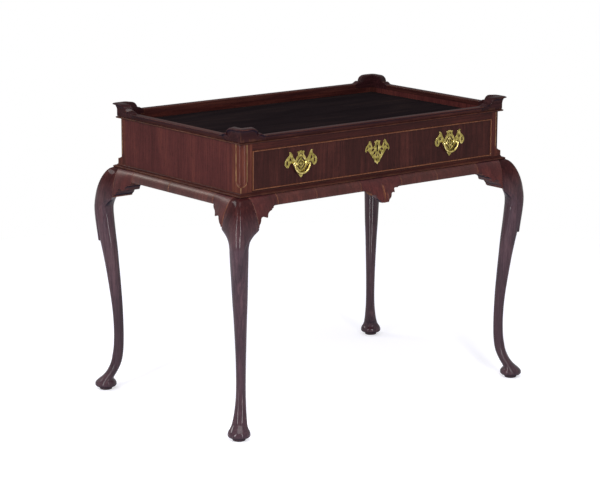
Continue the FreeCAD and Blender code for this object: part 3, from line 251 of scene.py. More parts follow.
def shade(ramp, stops):
    """The colour stops of a ramp, as (position, sRGB hex)."""
    elements = ramp.color_ramp.elements
    while len(elements) < len(stops):
        elements.new(0.5)
    for element, (position, code) in zip(elements, stops):
        element.position = position
        element.color = linear(code)
    return ramp


def stretched(axis, across, along):
    """Mapping scale for a pattern so long along the grain and so wide across it, in millimetres."""
    return tuple(1000.0 / (along if letter == axis else across) for letter in "xyz")


def new_material(name, slot):
    """A material that remembers its slot, with an empty node tree."""
    material = bpy.data.materials.new(name)
    material.use_nodes = True
    material["slot"] = slot
    tree = material.node_tree
    tree.nodes.clear()
    return material, tree


def mahogany(cut, slot, grain, stops, curl=0.0, flame=0.0, coat=0.15, low_coat=None, gloss=0.12,
             sheen=0.0, wear_and_glint_amount=0.3, edge="#96643f", upper=None, shift=0.0):
    """Mahogany, French polished and waxed.

    Dense fine-pored wood: dark streaks run along the grain, cross ripples of curl catch the
    light and pores are short dark flecks.  The shine is the polish's, a clear coat over all;
    cross-cut wood adds a golden sheen of its own.  Sharp arrises are paler, partly from wear and
    partly as painted glints; undersides are painted dark as shade.
    """
    material, tree = new_material(f"mahogany_{cut}_polished", f"mahogany_{slot}")
    where = add(tree, "TexCoord")
    spot = add(tree, "Mapping", {"Vector": where.outputs["Object"],
                                 "Location": (shift, shift * 0.7, shift * 1.3)})
    # Patterns that follow the grain: millimetres across and along it, detail, roughness,
    # distortion and lean.  Curl is ripples about 14 mm apart along the grain, and flame a large
    # figure that leans across the board.  Pores are drawn 0.9 mm wide, where the real ones are
    # 0.2 mm, so that they show.
    patterns = {}
    for pattern, across, along, detail, roughness, distortion, lean in (
            ("streak", 5.0, 170.0, 6.0, 0.62, 0.5, 0.0), ("broad", 55.0, 260.0, 3.0, 0.5, 0.8, 0.0),
            ("curl", 60.0, 14.0, 2.0, 0.45, 0.6, 0.0), ("flame", 34.0, 150.0, 4.0, 0.55, 1.6, 0.32),
            ("pores", 0.9, 14.0, 2.0, 0.6, 0.0, 0.0)):
        laid = add(tree, "Mapping", {"Vector": spot, "Scale": stretched(grain, across, along),
                                     "Rotation": (0.0, lean, 0.0)})
        patterns[pattern] = add(tree, "TexNoise", {
            "Vector": laid, "Scale": 1.0, "Detail": detail, "Roughness": roughness,
            "Distortion": distortion})
    figure = add(tree, "Mix", {"Factor": 0.45, "A": patterns["streak"], "B": patterns["broad"]},
                 data_type="FLOAT")
    for pattern, depth in (("curl", curl), ("flame", flame)):
        part = add(tree, "Math", {0: patterns[pattern], 1: depth, 2: -0.5 * depth},
                   operation="MULTIPLY_ADD")
        figure = add(tree, "Math", {0: figure, 1: part}, operation="ADD")
    toned = shade(add(tree, "ValToRGB", {"Fac": figure}), stops)
    level = add(tree, "SeparateXYZ", {"Vector": where.outputs["Object"]}).outputs["Z"]
    if upper:
        # The leg is browner above its knee; lower down its violet tone is partly the wood's and
        # partly painted reflection of the pale floor.
        high = shade(add(tree, "ValToRGB", {"Fac": figure}), upper)
        raised = add(tree, "MapRange", {"Value": level, "From Min": 0.44, "From Max": 0.53})
        toned = add(tree, "Mix", {"Factor": raised, "A": toned, "B": high},
                    data_type="RGBA")
    flecks = add(tree, "MapRange", {"Value": patterns["pores"], "From Min": 0.54,
                                    "From Max": 0.68, "To Max": 0.55})
    darker = add(tree, "Mix", {"Factor": flecks, "A": toned, "B": linear("#160a0a")},
                 data_type="RGBA")
    # Pale edge colour on sharp arrises: partly wear, partly painted glints, as along the post's
    # quirks, the lobes' lips and the apron's joints.
    wear_and_glint = add(tree, "Attribute", attribute_name="wear_and_glint")
    wear_and_glint_noise = add(tree, "TexNoise", {"Vector": spot, "Scale": 55.0, "Detail": 3.0})
    wear_and_glint_part = add(tree, "Math", {0: wear_and_glint.outputs["Fac"], 1: wear_and_glint_noise},
                    operation="MULTIPLY")
    wear_and_glint_mix = add(tree, "MapRange", {"Value": wear_and_glint_part, "From Min": 0.12,
                                   "From Max": 0.6, "To Max": wear_and_glint_amount})
    color = add(tree, "Mix", {"Factor": wear_and_glint_mix, "A": darker,
                              "B": linear(edge)}, data_type="RGBA")
    cloud = add(tree, "TexNoise", {"Vector": spot, "Scale": 28.0, "Detail": 4.0, "Roughness": 0.6})
    rough = add(tree, "MapRange", {"Value": cloud, "From Min": 0.3, "From Max": 0.7,
                                   "To Min": gloss * 0.75, "To Max": gloss * 1.4})
    height = add(tree, "Mix", {"Factor": 0.35, "A": flecks, "B": patterns["streak"]},
                 data_type="FLOAT")
    bump = add(tree, "Bump", {"Height": height, "Strength": 0.03,
                              "Distance": 0.0005}, invert=True)
    # Painted shade on undersides: where the normal faces down, polished falls to 0, the colour goes
    # to a dark #221c26, and coat and sheen are taken away.
    facing = add(tree, "SeparateXYZ", {"Vector": where.outputs["Normal"]})
    polished = add(tree, "MapRange", {"Value": facing.outputs["Z"], "From Min": -0.75,
                                      "From Max": -0.35})
    color_with_painted_underside_shade = add(tree, "Mix", {"Factor": polished, "A": linear("#221c26"),
                               "B": color}, data_type="RGBA")
    # A leg is waxed most from its knee down, where dusters reach.
    waxed = add(tree, "MapRange", {"Value": level, "From Min": 0.485, "From Max": 0.525,
                                   "To Min": low_coat or coat, "To Max": coat})
    coated = add(tree, "Math", {0: polished, 1: waxed}, operation="MULTIPLY")
    shone = add(tree, "Math", {0: polished, 1: sheen}, operation="MULTIPLY")
    shader = add(tree, "BsdfPrincipled", {
        "Base Color": color_with_painted_underside_shade, "Roughness": 0.36, "Specular IOR Level": shone,
        "Specular Tint": linear("#ffcf9a"), "Coat Weight": coated,
        "Coat Roughness": rough, "Coat IOR": 1.5, "Normal": bump})
    add(tree, "OutputMaterial", {"Surface": shader})
    return material


def oak(name):
    """Oak for the drawer's lining and inside the case: sawn, planed and left bare.

    Bare wood is dull and pale, with open pores that show as short dark strokes.
    """
    material, tree = new_material(name, "oak")
    spot = add(tree, "TexCoord").outputs["Object"]
    grain_at = add(tree, "Mapping", {"Vector": spot, "Scale": stretched("x", 9.0, 90.0)})
    grain = add(tree, "TexNoise", {"Vector": grain_at, "Scale": 1.0, "Detail": 7.0,
                                   "Roughness": 0.65, "Distortion": 0.7})
    ramp = shade(add(tree, "ValToRGB", {"Fac": grain}),
                 [(0.28, "#6b4a2c"), (0.5, "#94704a"), (0.72, "#b08d62")])
    pore_at = add(tree, "Mapping", {"Vector": spot, "Scale": stretched("x", 1.2, 20.0)})
    pores = add(tree, "TexNoise", {"Vector": pore_at, "Scale": 1.0, "Detail": 2.0})
    flecks = add(tree, "MapRange", {"Value": pores, "From Min": 0.55, "From Max": 0.7,
                                    "To Max": 0.6})
    color = add(tree, "Mix", {"Factor": flecks, "A": ramp,
                              "B": linear("#4a3018")}, data_type="RGBA")
    bump = add(tree, "Bump", {"Height": flecks, "Strength": 0.2, "Distance": 0.0008},
               invert=True)
    shader = add(tree, "BsdfPrincipled", {"Base Color": color, "Roughness": 0.62,
                                          "IOR": 1.5, "Normal": bump})
    add(tree, "OutputMaterial", {"Surface": shader})
    return material


def metal(name, slot, stops, roughness, mottle, spread):
    """A cast and filed metal: a mottled skin of tarnish, brighter where hands have rubbed it."""
    material, tree = new_material(name, slot)
    spot = add(tree, "TexCoord").outputs["Object"]
    clouds = add(tree, "TexNoise", {"Vector": spot, "Scale": 1000.0 / mottle, "Detail": 5.0,
                                    "Roughness": 0.6})
    wear_and_glint = add(tree, "Attribute", attribute_name="wear_and_glint")
    lifted = add(tree, "Math", {0: wear_and_glint.outputs["Fac"], 1: 0.35, 2: clouds},
                 operation="MULTIPLY_ADD")
    ramp = shade(add(tree, "ValToRGB", {"Fac": lifted}), stops)
    rough = add(tree, "MapRange", {"Value": clouds, "From Min": 0.3, "From Max": 0.7,
                                   "To Min": roughness + spread, "To Max": roughness - spread})
    fine = add(tree, "TexNoise", {"Vector": spot, "Scale": 1000.0 / 1.6, "Detail": 3.0})
    bump = add(tree, "Bump", {"Height": fine, "Strength": 0.12, "Distance": 0.0002})
    shader = add(tree, "BsdfPrincipled", {"Base Color": ramp, "Metallic": 1.0,
                                          "Roughness": rough, "Normal": bump})
    add(tree, "OutputMaterial", {"Surface": shader})
    return material


# The violet below the knee is the wood's tone with a painted reflection of the pale floor added.
leg_wood = mahogany("leg", "leg", "z",
                    [(0.28, "#1e121a"), (0.5, "#3b262e"), (0.72, "#5c4045")], curl=0.06,
                    coat=0.12, low_coat=0.5, gloss=0.08, wear_and_glint_amount=0.0,
                    upper=[(0.28, "#1c0a0a"), (0.5, "#311516"), (0.72, "#4c2824")])
# The post's bright edge colour paints thin glints along its quirks, as well as wear.
post_wood = mahogany("post", "leg", "z",
                     [(0.28, "#241210"), (0.5, "#41201c"), (0.74, "#66382a")], coat=0.12,
                     gloss=0.1, wear_and_glint_amount=0.85, edge="#b89a6c", shift=0.31)
panel_wood = mahogany("end_panel", "rail", "z",
                      [(0.2, "#2a1212"), (0.5, "#452120"), (0.8, "#60322a")], curl=0.05,
                      flame=0.1, coat=0.12, shift=0.11)
rail_wood = mahogany("rail", "rail", "x",
                     [(0.25, "#1b0b0a"), (0.5, "#331715"), (0.75, "#542920")], shift=0.53)
drawer_wood = mahogany("drawer_front", "drawer", "z",
                       [(0.2, "#1e100f"), (0.5, "#331a18"), (0.8, "#4e2924")], curl=0.1,
                       flame=0.22, coat=0.12, shift=0.77)
apron_wood = mahogany("crossgrain", "moulding", "z",
                      [(0.25, "#200d10"), (0.5, "#3a1a1c"), (0.75, "#542b27")], curl=0.05,
                      flame=0.1, coat=0.1, gloss=0.25, sheen=0.2, wear_and_glint_amount=0.6, shift=0.19)
ear_wood = mahogany("bracket", "leg", "z",
                    [(0.25, "#220e11"), (0.5, "#3c1a1d"), (0.75, "#562a27")], curl=0.08,
                    flame=0.15, coat=0.1, gloss=0.25, sheen=0.12, wear_and_glint_amount=0.6, shift=0.43)
long_wood = mahogany("moulding_long", "moulding", "x",
                     [(0.25, "#1b0b0b"), (0.5, "#321817"), (0.75, "#4e2a22")], coat=0.08,
                     wear_and_glint_amount=0.2, shift=0.63)
cross_wood = mahogany("moulding_end", "moulding", "y",
                      [(0.25, "#1b0b0b"), (0.5, "#321817"), (0.75, "#4e2a22")], coat=0.08,
                      wear_and_glint_amount=0.3, shift=0.29)
# A darker copy of the moulding wood: the dark is painted shade and dark reflection in the lobes'
# hollows.
lobe_wood_painted_dark = mahogany("lobe", "moulding", "x",
                     [(0.25, "#160a0c"), (0.5, "#2a1416"), (0.75, "#462626")], coat=0.12,
                     gloss=0.12, wear_and_glint_amount=0.35, shift=0.47)
tray_wood = mahogany("tray", "tray", "x",
                     [(0.25, "#0f0c0d"), (0.5, "#1a1517"), (0.75, "#2b211f")], coat=0.0,
                     shift=0.91)
bead_wood = mahogany("cockbead", "drawer", "z",
                     [(0.25, "#40241a"), (0.5, "#643d2b"), (0.75, "#8c6041")], shift=0.37)
oak_wood = oak("oak_planed_bare")
brass = metal("brass_cast_rubbed", "brass",
              [(0.3, "#5e5628"), (0.48, "#8e8144"), (0.62, "#bcab68"), (0.85, "#e2d49c")],
              roughness=0.27, mottle=9.0, spread=0.08)
iron = metal("iron_forged_dull", "iron",
             [(0.3, "#2b2a2a"), (0.55, "#4a4847"), (0.8, "#6a6764")],
             roughness=0.5, mottle=6.0, spread=0.1)


# ---- Camera, studio and floor ----
def set_camera():
    """A long lens, a little above the tray, turned 39 degrees towards the left end."""
    yaw, pitch, roll = math.radians(-39.05), math.radians(12.56), math.radians(0.25)
    back = Vector((math.sin(yaw) * math.cos(pitch), -math.cos(yaw) * math.cos(pitch),
                   math.sin(pitch)))
    right = Vector((0.0, 0.0, 1.0)).cross(back).normalized()
    up = back.cross(right)
    right, up = (math.cos(roll) * right + math.sin(roll) * up,
                 -math.sin(roll) * right + math.cos(roll) * up)
    data = bpy.data.cameras.new("camera")
    data.sensor_width = 36.0
    data.lens = 2230.0 / 600.0 * data.sensor_width     # 2230 pixels in a picture 600 wide
    data.clip_end = 100.0
    camera = bpy.data.objects.new("camera", data)
    turned = Matrix((right, up, back)).transposed().to_4x4()
    camera.matrix_world = Matrix.Translation(Vector((-3.383, -4.127, 1.527))) @ turned
    bpy.context.scene.collection.objects.link(camera)
    bpy.context.scene.camera = camera


def softbox(name, azimuth, elevation, distance, width, height, watts):
    """A rectangular lamp; azimuth 0 stands in front of the table, positive to its right."""
    aim = Vector((0.0, 0.0, 0.45))
    data = bpy.data.lights.new(name, "AREA")
    data.shape = "RECTANGLE"
    data.size, data.size_y = width, height
    data.energy = watts
    around, above = math.radians(azimuth), math.radians(elevation)
    away = Vector((math.sin(around) * math.cos(above), -math.cos(around) * math.cos(above),
                   math.sin(above)))
    lamp = bpy.data.objects.new(name, data)
    lamp.location = aim + away * distance
    lamp.rotation_euler = (-away).to_track_quat("-Z", "Y").to_euler()
    lamp.visible_camera = False
    bpy.context.scene.collection.objects.link(lamp)


def background_rays(tree):
    """1 for the rays that show the background: from the camera, off polish, through glass."""
    path = add(tree, "LightPath")
    straight = add(tree, "Math", {0: path.outputs["Is Camera Ray"],
                                  1: path.outputs["Is Transmission Ray"]}, operation="MAXIMUM")
    return add(tree, "Math", {0: straight, 1: path.outputs["Is Glossy Ray"]},
               operation="MAXIMUM")


def set_studio():
    """Strips by the left end and in front, broad lamps behind and above, white all round."""
    softbox("strip_left", -76.0, 17.0, 2.0, 0.16, 2.2, 25.0)
    softbox("strip_right", -14.0, 17.0, 2.0, 0.16, 2.2, 24.0)
    softbox("end_light", -147.0, 31.0, 3.0, 1.2, 0.45, 18.0)
    softbox("overhead", -30.0, 72.0, 2.8, 1.8, 1.2, 26.0)
    world = bpy.data.worlds.new("studio")
    world.use_nodes = True
    bpy.context.scene.world = world
    tree = world.node_tree
    tree.nodes.clear()
    shown = add(tree, "Mix", {"Factor": background_rays(tree), "A": linear("#bcbcc0"),
                              "B": (1.0, 1.0, 1.0, 1.0)}, data_type="RGBA")
    glow = add(tree, "Background", {"Color": shown, "Strength": 1.0})
    add(tree, "OutputWorld", {"Surface": glow})


def set_floor():
    """A round sheet of pale paper, white to the camera where nothing shades it."""
    radius, count = 1.9, 96
    turn = whole_turn(count)
    rim = np.stack([radius * np.cos(turn), radius * np.sin(turn), 0.0 * turn], 1)
    mesh = bpy.data.meshes.new("floor")
    mesh.from_pydata(rim.tolist(), [], [list(range(count))])
    floor = bpy.data.objects.new("floor", mesh)
    bpy.context.scene.collection.objects.link(floor)
    material = bpy.data.materials.new("floor_paper_matt")
    material.use_nodes = True
    tree = material.node_tree
    tree.nodes.clear()
    matt = add(tree, "BsdfDiffuse", {"Color": linear("#d0d0da")})
    glow = add(tree, "Emission", {"Color": (1.0, 1.0, 1.0, 1.0), "Strength": 0.55})
    both = add(tree, "AddShader", {0: matt, 1: glow})
    seen = add(tree, "MixShader", {"Fac": background_rays(tree), 1: matt,
                                   2: both})
    add(tree, "OutputMaterial", {"Surface": seen})
    mesh.materials.append(material)


set_camera()
set_studio()
set_floor()
bpy.context.scene.view_settings.view_transform = "Standard"


# ---- Mouldings round the case ----
def wood_for(side):
    """A moulding's grain runs along it."""
    return long_wood if side in LONG_SIDES else cross_wood


def mitred_run(side, outline):
    """An outline, (out, up), carried along one side; its ends slant through the corners."""
    out, up = outline.T
    ends = np.array(WAYS)[:, None]
    return loft(place(side, ends * (half_run(side) + out[None, :]), out[None, :], up[None, :]))


def ledge_outline():
    """A half-round nose under a cavetto: half a circle, then a quarter ellipse hollowed in."""
    turn = angles(-0.5, 0.5, 12)
    nose = np.stack([6.4 + 2.6 * np.cos(turn), 556.6 + 2.6 * np.sin(turn)], 1)
    sweep = angles(0.0, 0.5, 9)
    hollow = np.stack([5.6 - 5.0 * np.sin(sweep), 563.5 - 3.7 * np.cos(sweep)], 1)
    return np.concatenate([[(-1.0, 554.0)], nose, [(5.7, 559.3)], hollow, [(-1.0, 563.5)]])


def bead_outline():
    """A half-round bead: half an ellipse between two fillets."""
    turn = angles(-0.5, 0.5, 12)
    nose = np.stack([0.9 + 2.7 * np.cos(turn), 675.4 + 2.2 * np.sin(turn)], 1)
    return np.concatenate([[(-1.0, 673.0), (0.9, 673.0)], nose, [(0.9, 678.0), (-1.0, 678.0)]])


for side in SIDES:
    stand_in(f"ledge_{side}", "moulded", mitred_run(side, ledge_outline()), wood_for(side))
    stand_in(f"bead_{side}", "moulded", mitred_run(side, bead_outline()), wood_for(side))


def gallery_outline(top):
    """The gallery's outline where it stands so high: rim at 12 mm, lobe at 32 mm.

    A neck goes up from the case, a quarter ellipse hollows out under the lip, the lip is a small
    quarter ellipse below a broad one, and the inner wall leans out with it.  Every size slides
    with the height.
    """
    top = np.atleast_1d(top)[:, None]
    tall = np.clip((top - RIM) / (LOBE - RIM), 0.0, 1.0)
    lip_out = 7.5 + 3.5 * tall
    roll = 1.2 + 4.8 * tall
    fall = 1.5 + 1.0 * tall
    under = 1.2 + 0.5 * tall
    neck = 0.6 + 0.5 * tall
    start = 1.2 + 13.0 * tall
    sweep = angles(0.0, 0.5, 10)[None, :]
    hollow_out = neck + (lip_out - 2.6 - neck) * (1.0 - np.cos(sweep))
    hollow_up = start + (top - fall - under - start) * np.sin(sweep)
    below = angles(-0.5, 0.0, 5)[None, :]
    above = angles(0.06, 0.5, 9)[None, :]
    nose_out = np.concatenate([lip_out - 1.8 + 1.8 * np.cos(below),
                               lip_out - roll + roll * np.cos(above)], 1)
    nose_up = np.concatenate([top - fall + under * np.sin(below),
                              top - fall + fall * np.sin(above)], 1)
    edge = angles(0.0, 0.5, 5)[None, :]
    inner = -LIP + 3.0 * tall
    edge_out = inner + 1.4 * (1.0 - np.sin(edge))
    edge_up = top - 1.4 * (1.0 - np.cos(edge))
    lean = np.linspace(0.15, 0.85, 6)[None, :]
    wall_out = -LIP + (inner + LIP) * (1.0 - lean) ** 2
    wall_up = (top - 1.4) * (1.0 - lean) + 2.0 * lean
    zero = np.zeros_like(top)
    outs = [zero - LIP, zero, zero, neck, hollow_out, nose_out, edge_out, wall_out]
    ups = [zero, zero, zero + 0.4, zero + 1.0, hollow_up, nose_up, edge_up, wall_up]
    return np.concatenate(outs, 1), CASE_TOP + np.concatenate(ups, 1)


def lobe_height(reach):
    """Height of the gallery so far from the lip's outermost corner.

    Level at first, then down to a notch like a full quarter ellipse, then a low shoulder: a
    half wave 2.4 mm high over a smooth fall to the rim.
    """
    drop = np.clip((reach - LOBE_LEVEL) / (LOBE_CROWN - LOBE_LEVEL), 0.0, 1.0)
    full = np.sqrt(np.maximum(1.0 - drop ** 2.4, 0.0))
    crown = RIM + LOBE_NOTCH + (LOBE - RIM - LOBE_NOTCH) * full
    along = np.clip((reach - LOBE_CROWN) / (LOBE_LENGTH - LOBE_CROWN), 0.0, 1.0)
    wave = 2.4 * np.sin(np.pi * np.clip(along * 1.4, 0, 1))
    shoulder = RIM + LOBE_NOTCH * (1.0 - smooth(along)) + wave
    return np.where(reach < LOBE_CROWN, crown, shoulder)


def lobe_arm(side, way):
    """One arm of a corner lobe: the outline carried from the mitre to the arm's end."""
    falling = LOBE_CROWN - LOBE_LEVEL
    reach = np.concatenate([np.linspace(0.0, 8.0, 5), np.linspace(10.0, 29.0, 5),
                            LOBE_LEVEL + falling * np.sin(angles(0.0, 0.5, 18)),
                            np.linspace(LOBE_CROWN + 0.4, LOBE_LENGTH, 16)])
    share = reach / LOBE_LENGTH
    run = half_run(side)
    # Along the mitre every point sits over its own corner; at the arm's end all are level.
    out, _ = gallery_outline(lobe_height(reach))
    along = (run + out) - share[:, None] * (LOBE_LENGTH - LOBE_OUT + out)
    local = run + LOBE_OUT - along
    out, up = gallery_outline(lobe_height(local[:, out.shape[1] // 2]))
    # The lip's outermost corner is blunt: 2.4 mm off its point, over 9 mm.
    blunt = 2.4 * (1.0 - smooth(reach / 9.0))[:, None]
    out = out - blunt * smooth((out - 2.0) / 6.0)
    along = (run + out) - share[:, None] * (LOBE_LENGTH - LOBE_OUT + out)
    return loft(place(side, way * along, out, up))


for corner, end, side, x, y in CORNERS:
    stand_in(f"lobe_{corner}", "carved", joined(lobe_arm(end, x), lobe_arm(side, y)), lobe_wood_painted_dark)


def rim_run(side):
    """The low gallery between two lobes: one outline carried straight along."""
    out, up = gallery_outline(RIM)
    half = half_run(side) + LOBE_OUT - LOBE_LENGTH
    ends = np.array(WAYS)[:, None] * half
    return loft(place(side, ends, out, up))


for side in SIDES:
    stand_in(f"rim_{side}", "moulded", rim_run(side), wood_for(side))


# ---- Knee, bracket, apron and pendant: one bulging surface under the case ----
def cushion(drop):
    """The apron's bowed face: a circle's arc that stands out most, 18.5 mm, 19 mm down."""
    radius, proud, middle = 22.4, 18.5, 19.0
    below = np.minimum(drop, APRON)
    return proud - radius + np.sqrt(radius ** 2 - (below - middle) ** 2)


def knee(drop):
    """The knee's swell along the diagonal.

    46 mm times a parabola to the 0.62; it crests 96 mm down.
    """
    swell, depth = 46.0, 96.0
    share = np.minimum(drop / depth, 1.0)
    return swell * (1.0 - (1.0 - share) ** 2) ** 0.62


def knee_side(drop):
    """How far the knee stands out of the case's face where its bracket starts.

    Nine tenths of the ledge, and 0.93 of the swell's share square to the face.
    """
    return LEDGE * 0.9 + 0.93 * knee(drop) / ROOT2


def knee_joint(drop):
    """How far inside the case's corner the knee meets its brackets.

    14 mm at the top, and from there like the depth to the 0.7: 23.5 mm when 66 mm down.
    """
    return 14.0 + 9.5 * np.minimum(drop / 66.0, 1.0) ** 0.7


# A bracket's lower edge: how far from its leg, and how deep under the case.  Three scallops
# fall towards the leg, each ending in a small hook.
BRACKET_EDGE = np.array([
    (0, 66.4), (1.4, 66), (2.2, 62), (3.8, 59.6), (6.2, 56.6), (8, 53), (8.9, 50.4), (9.6, 47.6),
    (11.2, 45), (14, 43.6), (17, 43.6), (20, 44.4), (24, 46.4), (26.4, 47.4), (27.2, 46.8),
    (28.4, 44.2), (29.4, 41.2), (31.4, 38.2), (34.4, 36), (38.6, 34), (42.4, 33.2), (44.6, 32.9),
    (45.4, 31.2), (47.6, 29.8), (50, 29.2), (51.2, 28.8), (52, 26.4), (54, 25), (57, 24.6),
    (66, 24.5)])


def wall_places(edge, spacing):
    """Places along an edge: its own corners, and more between them."""
    between = np.arange(edge[0, 0], edge[-1, 0], spacing)
    return np.unique(np.concatenate([edge[:, 0], between]))


def wall_sections(shares, edge, front, back, bevel=0.9):
    """Closed upright sections of a shaped board, one for each share.

    Down the front surface from the case to the edge, round a small bevel, straight back
    along the underside and up the back.
    """
    down = np.concatenate([[0.0], smooth(np.linspace(0.0, 1.0, 15))[1:]])[None, :]
    drops = down * (edge[:, None] - bevel)
    outs = front(shares[:, None], drops)
    last = front(shares[:, None], edge[:, None])
    turn_out = last - bevel * np.array([[0.25, 0.6, 1.1]])
    turn_down = edge[:, None] - bevel * np.array([[0.42, 0.12, 0.0]])
    inner = np.stack([back + 0.6 + 0.0 * edge, back + 0.0 * edge, back + 0.0 * edge], 1)
    inner_down = np.stack([edge, edge - 0.6, 0.0 * edge], 1)
    out = np.concatenate([outs, turn_out, inner], 1)
    drop = np.concatenate([drops, turn_down, inner_down], 1)
    return out, CASE_FLOOR - drop


def bracket(side, way):
    """One bracket: from the knee's bulge at its leg to the apron's cushion at its end."""
    edge_table = BRACKET_EDGE.copy()
    length = FRONT_BRACKET
    if side in SHORT_SIDES:
        # The end brackets are shorter, and their lower scallops wider.
        length = END_BRACKET
        edge_table[:, 0] = np.interp(
            edge_table[:, 0], [0.0, 1.4, 3.8, 8.0, 8.9, 14.0, 26.4, 31.4, 38.6, 47.6, 52.0, 66.0],
            [0.0, 4.6, 9.6, 14.0, 15.8, 20.6, 32.4, 38.0, 43.4, 49.4, 51.6, 55.0])
    away = wall_places(edge_table, 1.5)
    edge = np.interp(away, *edge_table.T)
    shares = away / length

    def front(share, drop):
        """The knee's side fading into the apron's hollow like a smooth step to the 0.7."""
        blend = smooth(1.0 - share) ** 0.7
        hollow = cushion(drop) + 0.35 * np.maximum(drop - APRON, 0.0)
        return blend * knee_side(drop) + (1.0 - blend) * hollow

    out, up = wall_sections(shares, edge, front, -RAIL)
    # The joint with the knee is a hair open at its face.
    out = out - 0.8 * (away < 0.1)[:, None] * (out > 0.0)
    start = half_run(side) - POST + KNEE_JOINT
    lean = start - half_run(side) + knee_joint(CASE_FLOOR - up)
    lean = lean * (1.0 - smooth(away / 24.0))[:, None]
    along = way * (start - HAIR - lean - away[:, None] * (length - 2 * HAIR) / length)
    return loft(place(side, along, out, up))


for side in SIDES:
    for end, way in zip(SHORT_SIDES if side in LONG_SIDES else LONG_SIDES, WAYS):
        stand_in(f"bracket_{side}_{end}", "carved", bracket(side, way), ear_wood, crease=30.0)


def apron_run(side, start, stop):
    """The cushion carried straight along a side, its lower edge and its two ends eased."""
    drops = np.linspace(0.0, APRON - 0.9, 18)
    out = np.concatenate([cushion(drops), [cushion(APRON) - 0.35, cushion(APRON) - 1.1, -RAIL + 0.5,
                                           -RAIL, -RAIL]])
    up = CASE_FLOOR - np.concatenate([drops, [APRON - 0.25, APRON, APRON, APRON - 0.5, 0.0]])
    along = np.array([start + HAIR, start + 0.8, start + 1.8, stop - 1.8, stop - 0.8,
                      stop - HAIR])[:, None]
    # The end rows are set in, so that their short edges take the pale edge colour: a thin line at
    # each joint, partly wear and partly painted glint.
    inward = np.array([0.6, 0.0, 0.0, 0.0, 0.0, 0.6])[:, None] * (out > 0.0)[None, :]
    return loft(place(side, along, out[None, :] - inward, up[None, :]))


def apron_pieces(side, joints):
    """Blocks of cross-grained wood set side by side, a hair apart."""
    return joined(*[apron_run(side, a, b) for a, b in zip(joints, joints[1:])])


front_end = HALF_LENGTH - POST + KNEE_JOINT - FRONT_BRACKET
side_end = HALF_DEPTH - POST + KNEE_JOINT - END_BRACKET
# Each apron's side, where its blocks meet along it, and how it is made.
APRONS = {"front_left": ("front", (-front_end, -196.0, -PENDANT), "veneered"),
          "front_right": ("front", (PENDANT, 176.0, front_end), "veneered"),
          "left": ("left", (-side_end, 12.0, side_end), "veneered"),
          "right": ("right", (-side_end, -20.0, side_end), "veneered"),
          "back": ("back", (-front_end, 0.0, front_end), "moulded")}
for name, (side, joints, made) in APRONS.items():
    stand_in(f"apron_{name}", made, apron_pieces(side, joints), apron_wood)


# The pendant's lower edge: how far from its middle, and how deep under the case.
PENDANT_EDGE = np.array([
    (0, 55.4), (5, 54.8), (10.2, 54.6), (11.4, 53.4), (12.4, 51.4), (14.2, 49), (17, 47.4),
    (19, 45.8), (21.2, 43), (22.4, 40), (22.8, 37.6), (24, 36), (27, 34.6), (30.6, 34.6),
    (34.2, 35.6), (35.2, 35), (35, 33), (33.6, 31), (33.6, 28.8), (35, 26.8), (38, 25.6),
    (43, 25.6), (47, 26.2), (49.4, 26), (51, 24.8), (54, 24.5), (62, 24.5)])


def pendant():
    """The carved drop: it swells forward as it goes down, and its lower part is a curved shell."""
    half = PENDANT
    edge_table = PENDANT_EDGE.copy()
    # Places that turn back under a hook are moved on, so that every place has one depth.
    edge_table[:, 0] = np.maximum.accumulate(edge_table[:, 0] + np.arange(len(edge_table)) * 0.02)
    places = wall_places(edge_table, 1.6)
    places = np.append(places[places < half - 0.2], half)
    shares = np.concatenate([-places[:0:-1], places]) / half
    edge = np.interp(np.abs(shares) * half, *edge_table.T)

    def front(share, drop):
        """A swell like a quarter sine fading into the apron's hollow at both ends."""
        blend = smooth(1.0 - np.abs(share)) ** 0.8
        middle = 8.0 + 25.0 * np.sin(np.pi / 2 * np.minimum(drop / 60.0, 1.0) ** 0.75)
        # A shallow cut down the middle, and a faint ridge beside it.
        cut = 1.5 * np.exp(-(share * half / 0.9) ** 2) * smooth((drop - 6.0) / 14.0)
        ridge = 1.3 * np.exp(-((share * half - 9.0) / 2.5) ** 2) * smooth((drop - 20.0) / 20.0)
        hollow = cushion(drop) + 0.35 * np.maximum(drop - APRON, 0.0)
        return blend * middle + (1.0 - blend) * hollow - cut + ridge

    out, up = wall_sections(shares, edge, front, -RAIL)
    # Below the apron the back follows the front.
    back = front(shares, edge) - SHELL
    hang = smooth((edge - APRON) / 6.0)
    out[:, -3] = (1.0 - hang) * out[:, -3] + hang * (back + 0.6)
    out[:, -2] = (1.0 - hang) * out[:, -2] + hang * back
    low = CASE_FLOOR - APRON
    extra_out = np.stack([(1.0 - hang) * -RAIL + hang * (front(shares, APRON) - SHELL),
                          -RAIL + 0.0 * hang], 1)
    extra_up = np.stack([np.maximum(up[:, -2] + 0.2, low), np.maximum(up[:, -2] + 0.4, low)], 1)
    out = np.concatenate([out[:, :-1], extra_out, out[:, -1:]], 1)
    up = np.concatenate([up[:, :-1], extra_up, up[:, -1:]], 1)
    return loft(place("front", (shares * (half - HAIR))[:, None], out, up))


stand_in("pendant", "carved", pendant(), ear_wood, crease=30.0)


